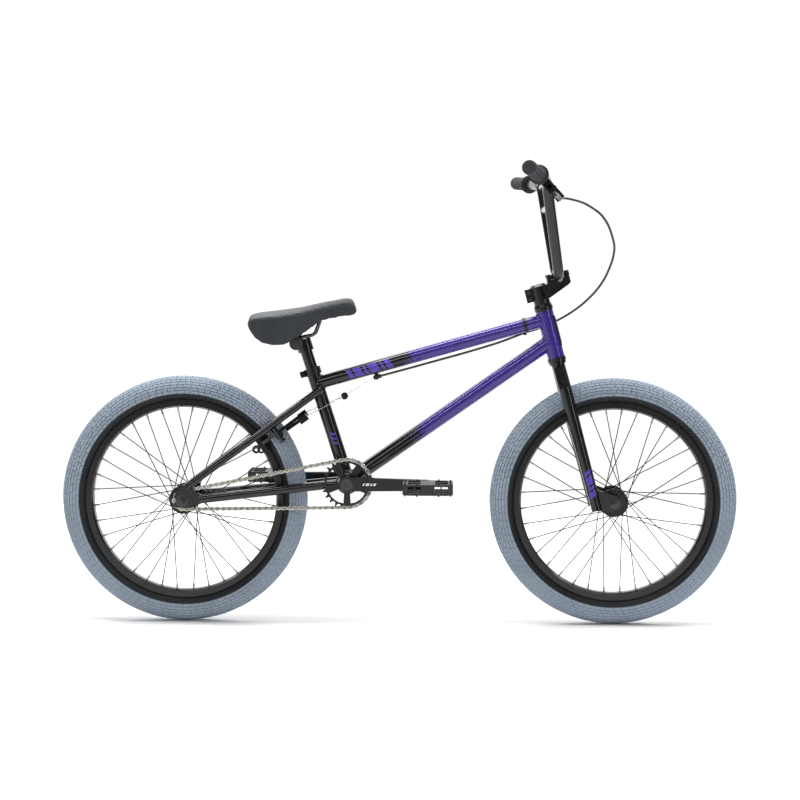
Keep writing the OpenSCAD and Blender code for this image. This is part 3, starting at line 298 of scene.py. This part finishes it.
def make(name, verts, faces, mats, body, smooth=True, ids=None, angle=None):
    me = bpy.data.meshes.new(name)
    me.from_pydata([tuple(float(c) * MM for c in v) for v in verts], [], faces)
    me.update()
    for m in mats if isinstance(mats, list) else [mats]:
        me.materials.append(m)
    if ids is not None:
        me.polygons.foreach_set("material_index", ids)
    me.polygons.foreach_set("use_smooth", [smooth] * len(me.polygons))
    ob = bpy.data.objects.new(name, me)
    bpy.context.scene.collection.objects.link(ob)
    if angle is not None:
        me.set_sharp_from_angle(angle=rad(angle))
    if body:
        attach(ob, body)
    return ob


class Bag:
    """Collects several shapes into one mesh."""

    def __init__(self):
        self.v, self.f, self.i = [], [], []

    def add(self, v, f, mat=0):
        n = len(self.v)
        self.v.extend(v)
        self.f.extend(tuple(k + n for k in q) for q in f)
        self.i.extend([mat] * len(f))


def sweep(pts, radius, sides=12, closed=False, phase=0.0):
    """Tube through pts. radius is one number or one for each point."""
    pts = np.array(pts, float)
    n = len(pts)
    rs = np.full(n, float(radius)) if np.isscalar(radius) else np.array(radius, float)
    if closed:
        tan = np.roll(pts, -1, 0) - np.roll(pts, 1, 0)
    else:
        tan = np.gradient(pts, axis=0)
    tan /= np.linalg.norm(tan, axis=1)[:, None]
    u = np.cross(tan[0], [0, 0, 1] if abs(tan[0][2]) < 0.9 else [0, 1, 0])
    us = []
    for i in range(n):
        u = u - tan[i] * (u @ tan[i])
        u = u / np.linalg.norm(u)
        us.append(u)
    twist = 0.0
    if closed:
        last = us[-1] - tan[0] * (us[-1] @ tan[0])
        last /= np.linalg.norm(last)
        twist = math.atan2(np.cross(last, us[0]) @ tan[0], last @ us[0])
    v, f = [], []
    for i in range(n):
        w = np.cross(tan[i], us[i])
        for k in range(sides):
            a = phase + 2 * PI * k / sides + twist * i / n
            v.append(pts[i] + rs[i] * (math.cos(a) * us[i] + math.sin(a) * w))
    for i in range(n if closed else n - 1):
        j = (i + 1) % n
        for k in range(sides):
            m = (k + 1) % sides
            f.append((i * sides + k, i * sides + m, j * sides + m, j * sides + k))
    if not closed:
        f.append(tuple(range(sides - 1, -1, -1)))
        f.append(tuple((n - 1) * sides + k for k in range(sides)))
    return v, f


def axes_of(z_dir, x_dir):
    z = unit(z_dir)
    x = np.array(x_dir, float)
    x = unit(x - (x @ z) * z)
    return x, np.cross(z, x), z


def revolve(profile, o, z_dir, x_dir, seg=48):
    """Closed profile of (radius, height) turned about z_dir at o."""
    x, y, z = axes_of(z_dir, x_dir)
    v, f = [], []
    n = len(profile)
    for k in range(seg):
        a = 2 * PI * k / seg
        e = math.cos(a) * x + math.sin(a) * y
        v.extend(o + r * e + h * z for r, h in profile)
    for k in range(seg):
        j = (k + 1) % seg
        for i in range(n):
            m = (i + 1) % n
            f.append((k * n + i, j * n + i, j * n + m, k * n + m))
    return v, f


# ---- The frame's main points, in millimetres ----

REAR, FRONT = arr(-452.5, 0, 260), arr(452.5, 0, 260)
SPR, COG, PITCH = 50.664, 18.566, 12.7
BETA = rad(5.251173)
RUN = 346.286
C = 347.7705
BB = arr(-106.8118, 0, 298)
TILT = math.asin(38 / C)
UP = arr(-math.cos(rad(75)), 0, math.sin(rad(75)))
FWD = arr(math.sin(rad(75)), 0, math.cos(rad(75)))
S0 = FRONT - 39.6 * FWD
SEAT = arr(-math.cos(rad(72)), 0, math.sin(rad(72)))


def steer(x, y, t):
    return S0 + x * FWD + arr(0, y, 0) + t * UP


def bar(p):
    a = rad(6)
    return steer(44.8 + p[0] * math.cos(a) + p[2] * math.sin(a), p[1],
                 485 - p[0] * math.sin(a) + p[2] * math.cos(a))


KNEE, TIP = arr(0, 125, 200.5), arr(-41.9, 368, 221.4)
GRIP_LEN = float(np.linalg.norm(TIP - KNEE))
TT0, TT1 = steer(0, 0, 407), BB + 218 * SEAT
DT0, DT1 = steer(0, 0, 361), BB
STAY = unit(arr(0.807, 0, 0.5906))


def stay_at(s, side):
    return arr(-445, 0, 288) + s * STAY + arr(0, side * (62 - s * 40 / 340), 0)


# ---- Tyres ----

def tyre(name, centre, body, seed):
    rnd = random.Random(seed)
    seg, core, bag = 180, 233.0, Bag()
    prof = [(204, -13.1, 170), (208.6, -13.1, 160)]
    for i in range(-32, 33):
        ph = rad(150) * i / 32
        a = abs(math.degrees(ph))
        r = 25.75 if a < 111 else 26.8 if a < 116 else 26.4 if a < 136 else 26.7 if a < 140 else 26.2
        prof.append((core + r * math.cos(ph), r * math.sin(ph), a))
    prof += [(208.6, 13.1, 160), (204, 13.1, 170)]
    n = len(prof)
    v = []
    for k in range(seg):
        t = 2 * PI * k / seg
        v.extend(arr(centre[0] + R * math.cos(t), y, centre[2] + R * math.sin(t)) for R, y, _ in prof)
    for k in range(seg):
        j = (k + 1) % seg
        q = [(k * n + i, k * n + i + 1, j * n + i + 1, j * n + i) for i in range(n - 1)]
        for i, face in enumerate(q):
            # Carcass faces under the tread take the darker groove rubber, which is painted shade between
            # the blocks
            bag.i.append(1 if min(prof[i][2], prof[i + 1][2]) < 110 else 2)
            bag.f.append(face)
        bag.f.append((k * n + n - 1, k * n, j * n, j * n + n - 1))
        bag.i.append(2)
    bag.v.extend(v)
    rows = 16
    lim = rad(111)
    gap = 1.15
    for r in range(rows):
        p0 = -lim + 2 * lim * r / rows
        p1 = -lim + 2 * lim * (r + 1) / rows
        pm = (p0 + p1) / 2
        big = abs(math.degrees(pm)) > 55
        R = core + 27 * math.cos(pm)
        count = int(2 * PI * R / (15.0 if big else 10.5))
        cuts, at = [], rnd.random()
        for k in range(count):
            cuts.append(2 * PI * (k + at + rnd.uniform(-0.16, 0.16)) / count)
        cuts.append(cuts[0] + 2 * PI)
        dp = gap / 2 / 27
        dt = gap / 2 / R
        q0, q1 = p0 + dp, p1 - dp
        for k in range(count):
            a0, a1 = cuts[k] + dt, cuts[k + 1] - dt
            steps = 2
            b, pts = 0.28, []
            for rr, inset in ((25.6, 0.0), (26.75, 0.0), (26.98, b)):
                for s in range(steps + 1):
                    t = a0 + (a1 - a0) * s / steps
                    t += (inset / R) * (1 if s == 0 else -1 if s == steps else 0)
                    for ph in (q0 + inset / 27, q1 - inset / 27):
                        RR = core + rr * math.cos(ph)
                        pts.append(arr(centre[0] + RR * math.cos(t), rr * math.sin(ph),
                                       centre[2] + RR * math.sin(t)))
            m = 2 * (steps + 1)
            edge = [0, 1, 3, 5, 4, 2]
            faces = []
            for lay in (0, 1):
                for e in range(6):
                    c, d = edge[e], edge[(e + 1) % 6]
                    faces.append((lay * m + c, lay * m + d, (lay + 1) * m + d, (lay + 1) * m + c))
            faces.append((2 * m, 2 * m + 1, 2 * m + 3, 2 * m + 2))
            faces.append((2 * m + 2, 2 * m + 3, 2 * m + 5, 2 * m + 4))
            bag.add(pts, faces, 0)
    ob = make(name, bag.v, bag.f, [M["tread"], M["groove"], M["sidewall"]], body,
              True, bag.i, 35)
    return ob


for which, centre in (("front", FRONT), ("rear", REAR)):
    t = tyre(which + "_tyre_skin", centre, which + "_wheel", 5 if which == "front" else 9)
    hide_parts(which + "_tyre")

# ---- Chain ----

RUNS = RUN / PITCH
ON_SPR = (180 + 2 * math.degrees(BETA)) * 25 / 360
COG_AT = 2 * RUNS + ON_SPR


def chain_pin(k):
    sb, cb = math.sin(BETA), math.cos(BETA)
    if k < RUNS:
        return arr(-COG * sb + k * PITCH * cb, COG * cb + k * PITCH * sb)
    if k < RUNS + ON_SPR:
        a = PI / 2 + BETA - (k - RUNS) * 2 * PI / 25
        return arr(C + SPR * math.cos(a), SPR * math.sin(a))
    if k < COG_AT:
        d = (k - RUNS - ON_SPR) * PITCH
        return arr(C - SPR * sb - d * cb, -SPR * cb + d * sb)
    a = -PI / 2 - BETA - (k - COG_AT) * 2 * PI / 9
    return arr(COG * math.cos(a), COG * math.sin(a))


def chain_world(p, z):
    return arr(REAR[0] + p[0] * math.cos(TILT) - p[1] * math.sin(TILT), -46.5 - z,
               REAR[2] + p[0] * math.sin(TILT) + p[1] * math.cos(TILT))


def plate_outline(half, r, waist, n=9):
    out = []
    for side in (1, -1):
        for i in range(n):
            a = -PI / 2 * 1.12 + PI * 1.12 * i / (n - 1)
            out.append(arr(side * (half + r * math.cos(a)), side * r * math.sin(a)))
        out.append(arr(side * 0.0, side * waist))
    return out


plates, rollers = Bag(), Bag()
PINS = [chain_pin(k) for k in range(72)]
for k in range(72):
    a, b = PINS[k], PINS[(k + 1) % 72]
    mid, d = (a + b) / 2, unit(b - a)
    e = arr(-d[1], d[0])
    outer = k % 2 == 0
    z0, z1 = (2.78, 3.7) if outer else (1.72, 2.68)
    line = plate_outline(PITCH / 2, 4.0 if outer else 4.15, 2.7)
    for s in (1, -1):
        v = []
        for z, ins in ((z0, 0.0), (z1 - 0.2, 0.0), (z1, 0.25)):
            for p in line:
                q = p * (1 - ins / 5)
                v.append(chain_world(mid + q[0] * d + q[1] * e, s * z))
        n = len(line)
        f = []
        for lay in (0, 1):
            for i in range(n):
                j = (i + 1) % n
                f.append((lay * n + i, lay * n + j, (lay + 1) * n + j, (lay + 1) * n + i))
        f.append(tuple(range(2 * n, 3 * n)))
        f.append(tuple(range(n - 1, -1, -1)))
        plates.add(v, f, 0)
    v, f = revolve([(0.0001, -1.7), (3.75, -1.7), (3.85, -1.5), (3.85, 1.5), (3.75, 1.7), (0.0001, 1.7)],
                   chain_world(a, 0), [0, -1, 0], [1, 0, 0], 14)
    rollers.add(v, f, 0)
    v, f = revolve([(0.0001, -4.1), (1.5, -4.1), (1.75, -3.8), (1.75, 3.8), (1.5, 4.1), (0.0001, 4.1)],
                   chain_world(a, 0), [0, -1, 0], [1, 0, 0], 10)
    plates.add(v, f, 1)
links = make("chain_links", plates.v, plates.f, [M["chain"], M["chain_dark"]], "frame",
             True, plates.i, 30)
make("chain_rollers", rollers.v, rollers.f, M["chain_dark"], "frame", True, None, 30)
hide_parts("chain")

# ---- Brake cable ----

ROUTE = [
    (325.5, -193.5, 890.5), (329, -181, 890), (339, -169, 890), (356, -159, 887), (376, -150, 881),
    (396, -141, 870), (413, -130, 857), (427, -117, 838), (437, -100, 815), (443, -82, 794),
    (442, -62, 772), (436, -45, 750), (427, -29, 728), (414, -14, 707), (398, 1, 688),
    (379, 14, 670), (357, 23, 654), (335, 28, 641), (312, 27, 630), (288, 19, 621),
    (264, 10, 614), (235, 5, 603), (202, 2, 591), (140, 0, 572), (80, 0, 555), (20, 0, 538),
    (-20, 0, 527), (-38, 0, 522),
]


def spline(p, per=8):
    p = np.array(p, float)
    out = []
    for i in range(len(p) - 1):
        a, b, c, d = p[max(i - 1, 0)], p[i], p[i + 1], p[min(i + 2, len(p) - 1)]
        for k in range(per):
            u = k / per
            out.append(0.5 * (2 * b + (c - a) * u + (2 * a - 5 * b + 4 * c - d) * u * u
                              + (3 * b - a - 3 * c + d) * u ** 3))
    out.append(p[-1])
    return np.array(out)


v, f = sweep(spline(ROUTE), 2.5, 14)
cable = make("brake_cable_housing", v, f, M["sheath"], None, True, None, 40)
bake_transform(cable)
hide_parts("brake_cable")
tips = Bag()
o = bar(KNEE * arr(1, -1, 1) + 92 * unit((TIP - KNEE) * arr(1, -1, 1)))
gz = bar(unit((TIP - KNEE) * arr(1, -1, 1))) - bar(arr(0, 0, 0))
gx0 = bar(arr(math.cos(rad(57)), 0, -math.sin(rad(57)))) - bar(arr(0, 0, 0))
gx, _, gz = axes_of(gz, gx0)
v, f = revolve([(2.55, -38), (3.3, -38), (3.6, -37), (3.6, -31), (4.4, -30.6), (4.4, -30.05),
                (2.55, -30.05)], o + 55 * gx, gz, gx, 20)
tips.add(v, f)
make("cable_adjuster", tips.v, tips.f, M["bright_steel"], "steering", True, None, 35)

# ---- Grips ----

for side, name in ((1, "left"), (-1, "right")):
    flip = arr(1, side, 1)
    base = bar(KNEE * flip)
    z = bar(unit((TIP - KNEE) * flip)) - bar(arr(0, 0, 0))
    x = bar(arr(1, 0, 0)) - bar(arr(0, 0, 0))
    prof = [(11.15, 112.0), (18.8, 112.0), (20.0, 112.8), (20.0, 115.0), (18.8, 116.0), (14.4, 117.2)]
    h = 120.0
    while h < GRIP_LEN - 12:
        prof += [(13.9, h), (14.35, h + 0.35), (14.35, h + 1.35), (13.9, h + 1.7)]
        h += 2.3
    prof += [(13.9, GRIP_LEN - 11), (14.5, GRIP_LEN - 10.4), (14.5, GRIP_LEN - 0.2),
             (13.6, GRIP_LEN + 1.2), (11.0, GRIP_LEN + 2.0), (0.001, GRIP_LEN + 2.0),
             (0.001, GRIP_LEN + 0.05), (11.15, GRIP_LEN + 0.05)]
    v, f = revolve(prof, base, z, x, 56)
    ids = [1 if q % len(prof) < 5 else 0 for q in range(len(f))]
    g = make("grip_" + name + "_sleeve", v, f, [M["grip"], M["flange"]], "steering",
             True, ids, 50)
    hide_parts("grip_" + name)

# ---- Weld beads ----

welds = {"frame": Bag(), "steering": Bag()}


def weld(key, a0, d, ra, b0, bd, rb, bead=1.9):
    """Bead where a tube of radius ra, coming from a0 along d, meets the side of another tube."""
    d, bd = unit(d), unit(bd)
    e1, e2, _ = axes_of(d, bd if abs(d @ bd) < 0.95 else arr(0, 1, 0))
    pts, count = [], 120
    for k in range(count):
        ph = 2 * PI * k / count
        p = a0 + ra * (math.cos(ph) * e1 + math.sin(ph) * e2)
        w = p - b0
        wp, dp = w - (w @ bd) * bd, d - (d @ bd) * bd
        A, B, D = dp @ dp, 2 * wp @ dp, wp @ wp - rb * rb
        disc = B * B - 4 * A * D
        if disc < 0:
            disc = 0.0
        t = (-B - math.sqrt(disc)) / (2 * A)
        pts.append(p + t * d)
    pts = np.array(pts)
    seg = np.linalg.norm(pts - np.roll(pts, 1, 0), axis=1)
    run = np.cumsum(seg)
    rs = bead * (1 + 0.10 * np.sin(2 * PI * run / (run[-1] / max(8, round(run[-1] / 3.2)))))
    v, f = sweep(pts, rs, 10, True)
    welds[key].add(v, f)


weld("frame", TT1 + 200 * unit(TT0 - TT1), TT0 - TT1, 14.3, S0, UP, 18.0)
weld("frame", TT0 + 200 * unit(TT1 - TT0), TT1 - TT0, 14.3, BB, SEAT, 14.3)
weld("frame", DT1 + 250 * unit(DT0 - DT1), DT0 - DT1, 15.9, S0, UP, 18.0)
weld("frame", DT0 + 250 * unit(DT1 - DT0), DT1 - DT0, 15.9, BB, arr(0, 1, 0), 23.5)
weld("frame", BB + 100 * SEAT, -SEAT, 14.3, BB, arr(0, 1, 0), 23.5)
for side in (1, -1):
    c0, c1 = arr(BB[0], side * 27, BB[2]), arr(REAR[0] + 36, side * 58, 264)
    weld("frame", c1 + 60 * unit(c0 - c1), c0 - c1, 9.5, BB, arr(0, 1, 0), 23.5, 1.6)
    weld("frame", stay_at(120, side), stay_at(350, side) - stay_at(0, side), 8.0, BB, SEAT, 14.3, 1.5)
make("frame_welds", welds["frame"].v, welds["frame"].f, M["black"], "frame", True)
# The beads beside the head tube take its colour
split = bpy.data.objects["frame_welds"]
split.data.materials.append(M["purple"])
for p in split.data.polygons:
    p.material_index = 1 if p.center.x > 0.1 else 0


# ---- Generic marks, thin films that hug a tube ----

def patch(bag, p0, d, r, s0, s1, a0, a1, shear, ref, mat=0, lift=0.12):
    """Film on a tube from s0 to s1 along it and from angle a0 to a1 round it, leaning by shear."""
    x, y, z = axes_of(d, ref)
    n, m = 3, 8
    v, f = [], []
    for up in (lift, -0.02):
        for i in range(n):
            for k in range(m):
                w = k / (m - 1)
                a = rad(a0 + (a1 - a0) * w)
                s = s0 + (s1 - s0) * i / (n - 1) + shear * (w - 0.5)
                v.append(p0 + s * z + (r + up) * (math.cos(a) * x + math.sin(a) * y))
    t = n * m
    for i in range(n - 1):
        for k in range(m - 1):
            a, b, c, e = i * m + k, i * m + k + 1, (i + 1) * m + k + 1, (i + 1) * m + k
            f.append((a, b, c, e))
            f.append((t + e, t + c, t + b, t + a))
    rim = [k for k in range(m)] + [i * m + m - 1 for i in range(1, n)] \
        + [(n - 1) * m + k for k in range(m - 2, -1, -1)] + [i * m for i in range(n - 2, 0, -1)]
    for i, a in enumerate(rim):
        b = rim[(i + 1) % len(rim)]
        f.append((b, a, t + a, t + b))
    bag.add(v, f, mat)


film = Bag()
dt = unit(TT0 - TT1)
for side in (-1, 1):
    ref = arr(0, side, 0)
    # Slanted bars of several widths behind the fade on the top tube
    start = (arr(-107, 0, 0) - TT1)[0] / dt[0]
    for at, wide in ((0, 9), (14, 16), (35, 6), (46, 20), (72, 5), (82, 12)):
        patch(film, TT1, dt, 14.3, start + at, start + at + wide, -42, 42, -7 * side, ref, 0)
    s = (arr(12, 0, 0) - TT1)[0] / dt[0]
    for at in (0, 9):
        patch(film, TT1, dt, 14.3, s + at, s + at + 5, -32, 32, -6 * side, ref, 1)
    dd = unit(DT0 - DT1)
    s = (arr(30, 0, 0) - DT1)[0] / dd[0]
    for at in (0, 10):
        patch(film, DT1, dd, 15.9, s + at, s + at + 6, -30, 30, -7 * side, ref, 1)
    for at in (84, 94, 104):
        patch(film, BB, SEAT, 14.3, at, at + 5, -22, 22, 5 * side, ref, 0)
make("frame_marks", film.v, film.f, [M["violet"], M["black"]], "frame", True, film.i, 40)
film = Bag()
for side in (-1, 1):
    foot, knee = steer(0, side * 58, -4), steer(0, side * 42, 258)
    d = unit(knee - foot)
    for at, wide in ((30, 12), (46, 6), (56, 18), (78, 8)):
        r = 11 + 2.6 * (at + wide / 2) / 262.5
        patch(film, foot, d, r + 0.2, at, at + wide, -34, 34, -6 * side, arr(0, side, 0), 0)
make("fork_marks", film.v, film.f, [M["violet"]], "steering", True, film.i, 40)
film = Bag()
for side in (-1, 1):
    for at, wide in ((34, 3), (40, 7), (50, 3), (56, 5)):
        # The arm's outer face leans outwards, so each bar is a thin slab on it
        x0, x1 = BB[0] - side * at, BB[0] - side * (at + wide)
        y = [66 + 7 * (abs(x - BB[0]) - 20) / 134 for x in (x0, x1)]
        v = []
        for x, yy in ((x0, y[0]), (x1, y[1])):
            for z in (-2.6, 2.6):
                for out in (-0.4, 0.12):
                    v.append(arr(x + 0.5 * z, side * (yy + out), BB[2] + z))
        film.add(v, [(0, 1, 3, 2), (4, 6, 7, 5), (0, 4, 5, 1), (2, 3, 7, 6), (0, 2, 6, 4), (1, 5, 7, 3)])
make("crank_marks", film.v, film.f, [M["white"]], "crank", False)

# Blank badge on the front of the head tube
badge = Bag()
patch(badge, S0, UP, 18.0, 346, 411, -38, 38, 0, FWD, 0, 1.3)
patch(badge, S0, UP, 18.9, 352, 405, -26, 26, 0, FWD, 0, 1.0)
b = make("head_badge", badge.v, badge.f, [M["badge"]], "frame", True, badge.i, 40)

# ---- Saddle ----


def apply_all(ob):
    bpy.ops.object.select_all(action="DESELECT")
    bpy.context.view_layer.objects.active = ob
    ob.select_set(True)
    for m in list(ob.modifiers):
        bpy.ops.object.modifier_apply(modifier=m.name)


def coords(me):
    co = np.zeros(len(me.vertices) * 3)
    me.vertices.foreach_get("co", co)
    return co.reshape(-1, 3)


def saddle():
    me = nodes["saddle_pad"].data.copy()
    ob = bpy.data.objects.new("saddle_cover", me)
    bpy.context.scene.collection.objects.link(ob)
    r = ob.modifiers.new("remesh", "REMESH")
    r.mode, r.voxel_size = "VOXEL", 0.004
    r.use_smooth_shade = True
    apply_all(ob)
    me = ob.data
    co = coords(me)
    # Crown the flat top across its width
    x, y, z = co[:, 0], co[:, 1], co[:, 2]
    width = np.interp(x, [-0.323, -0.306, -0.285, -0.225, -0.185, -0.15, -0.1, -0.08],
                      [0.03, 0.062, 0.07, 0.056, 0.033, 0.023, 0.019, 0.01])
    top = np.interp(x, [-0.317, -0.295, -0.242, -0.205, -0.165, -0.117, -0.104, -0.089],
                    [0.646, 0.654, 0.660, 0.665, 0.675, 0.685, 0.686, 0.672])
    low = np.interp(x, [-0.311, -0.284, -0.24, -0.194, -0.163, -0.095],
                    [0.617, 0.592, 0.588, 0.616, 0.637, 0.65])
    share = np.clip((z - low) / (top - low), 0, 1)
    co[:, 2] = z - share * 0.010 * np.clip(np.abs(y) / width, 0, 1) ** 2.2
    me.vertices.foreach_set("co", co.ravel())
    s = ob.modifiers.new("smooth", "SMOOTH")
    s.factor, s.iterations = 0.5, 5
    apply_all(ob)
    me = ob.data
    rest = coords(me)
    g = ob.vertex_groups.new(name="pin")
    inner = [i for i, c in enumerate(rest) if c[2] < np.interp(
        c[0], [-0.311, -0.284, -0.24, -0.194, -0.163, -0.095],
        [0.624, 0.600, 0.597, 0.624, 0.644, 0.656])]
    g.add(inner, 1.0, "REPLACE")
    cl = ob.modifiers.new("cloth", "CLOTH")
    st = cl.settings
    st.quality = 6
    st.mass = 0.3
    st.tension_stiffness = 40
    st.compression_stiffness = 40
    st.shear_stiffness = 20
    st.bending_stiffness = 4
    st.vertex_group_mass = "pin"
    st.use_pressure = True
    st.uniform_pressure_force = 4.0
    st.effector_weights.gravity = 0.0
    cl.collision_settings.use_collision = False
    cl.point_cache.frame_start, cl.point_cache.frame_end = 1, 20
    for f in range(1, 21):
        bpy.context.scene.frame_set(f)
    apply_all(ob)
    co = coords(ob.data)
    move = co - rest
    dist = np.linalg.norm(move, axis=1)
    cap = 0.004
    co = rest + move * (np.minimum(dist, cap) / np.maximum(dist, 1e-9))[:, None]
    ob.data.vertices.foreach_set("co", co.ravel())
    bpy.context.scene.frame_set(1)
    sub = ob.modifiers.new("sub", "SUBSURF")
    sub.levels = sub.render_levels = 1
    apply_all(ob)
    ob.data.materials.clear()
    ob.data.materials.append(M["cover"])
    ob.data.polygons.foreach_set("use_smooth", [True] * len(ob.data.polygons))
    ob.data.update()
    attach(ob, "saddle")
    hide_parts("saddle_pad")
    return ob


cover = saddle()
seam_x = [-0.306, -0.29, -0.26, -0.23, -0.2, -0.17, -0.14, -0.112]
seam_z = [0.632, 0.637, 0.642, 0.645, 0.650, 0.657, 0.663, 0.667]
seams = Bag()
for side in (-1, 1):
    line = []
    for x in np.linspace(-0.306, -0.112, 60):
        z = float(np.interp(x, seam_x, seam_z))
        hit, p, nrm, _ = cover.ray_cast(Vector((x, side * 0.2, z)), Vector((0, -side, 0)))
        if hit:
            line.append(np.array(p) * 1000 - np.array(nrm) * 0.15)
    if len(line) > 10:
        v, f = sweep(line, 0.75, 8)
        seams.add(v, f)
make("saddle_seams", seams.v, seams.f, M["thread"], "saddle", True)

# ---- Stage, light and camera ----

bpy.ops.mesh.primitive_plane_add(size=24, location=(0, -9.8, -0.0005))
floor = bpy.context.object
floor.name = "floor"
fm, _, fb = new_mat("floor")
fb.inputs["Base Color"].default_value = (0.8, 0.8, 0.8, 1)
fb.inputs["Roughness"].default_value = 0.6
fb.inputs["Specular IOR Level"].default_value = 0.1
floor.data.materials.append(fm)

world = bpy.data.worlds.new("studio")
bpy.context.scene.world = world
world.use_nodes = True
bg = world.node_tree.nodes["Background"]
# A bright backdrop behind the bike and a dim room on the near side
wt = world.node_tree
way = wt.nodes.new("ShaderNodeTexCoord")
xyz = wt.nodes.new("ShaderNodeSeparateXYZ")
lit = wt.nodes.new("ShaderNodeMapRange")
lit.interpolation_type = "SMOOTHSTEP"
lit.inputs["From Min"].default_value = 0.45
lit.inputs["From Max"].default_value = 0.9
lit.inputs["To Min"].default_value = 0.13
lit.inputs["To Max"].default_value = 1.06
wt.links.new(way.outputs["Generated"], xyz.inputs["Vector"])
wt.links.new(xyz.outputs["Y"], lit.inputs["Value"])
wt.links.new(lit.outputs["Result"], bg.inputs["Strength"])
bg.inputs["Color"].default_value = (1, 1, 1, 1)


def area(name, loc, target, size, size_y, power):
    l = bpy.data.lights.new(name, "AREA")
    l.shape = "RECTANGLE"
    l.size, l.size_y, l.energy = size, size_y, power
    ob = bpy.data.objects.new(name, l)
    bpy.context.scene.collection.objects.link(ob)
    ob.location = loc
    ob.rotation_euler = (Vector(target) - Vector(loc)).to_track_quat("-Z", "Y").to_euler()
    return ob


area("overhead", (0, -0.1, 3.0), (0, -0.1, 0), 4.6, 0.6, 135)
area("front_strip", (-0.5, -3.6, 2.6), (0, 0, 0.4), 3.6, 0.35, 34)
area("left_strip", (-3.0, -2.6, 1.1), (0, 0, 0.5), 0.25, 2.4, 12)
area("right_strip", (3.0, -2.6, 1.1), (0, 0, 0.5), 0.25, 2.4, 16)
area("back", (0, 2.4, 3.0), (0, 2.0, 0), 7.0, 1.4, 170)

cam = bpy.data.cameras.new("camera")
cam.lens, cam.sensor_width = 91.5, 36.0
eye = bpy.data.objects.new("camera", cam)
bpy.context.scene.collection.objects.link(eye)
eye.location = (0.105, -4.28, 0.748)
aim = (Vector((0.002, 0, 0.471)) - eye.location).to_track_quat("-Z", "Y")
eye.rotation_euler = aim.to_euler()
eye.rotation_euler.rotate_axis("Z", rad(0.28))
cam.clip_start, cam.clip_end = 0.1, 100
bpy.context.scene.camera = eye
bpy.context.scene.view_settings.view_transform = "Standard"
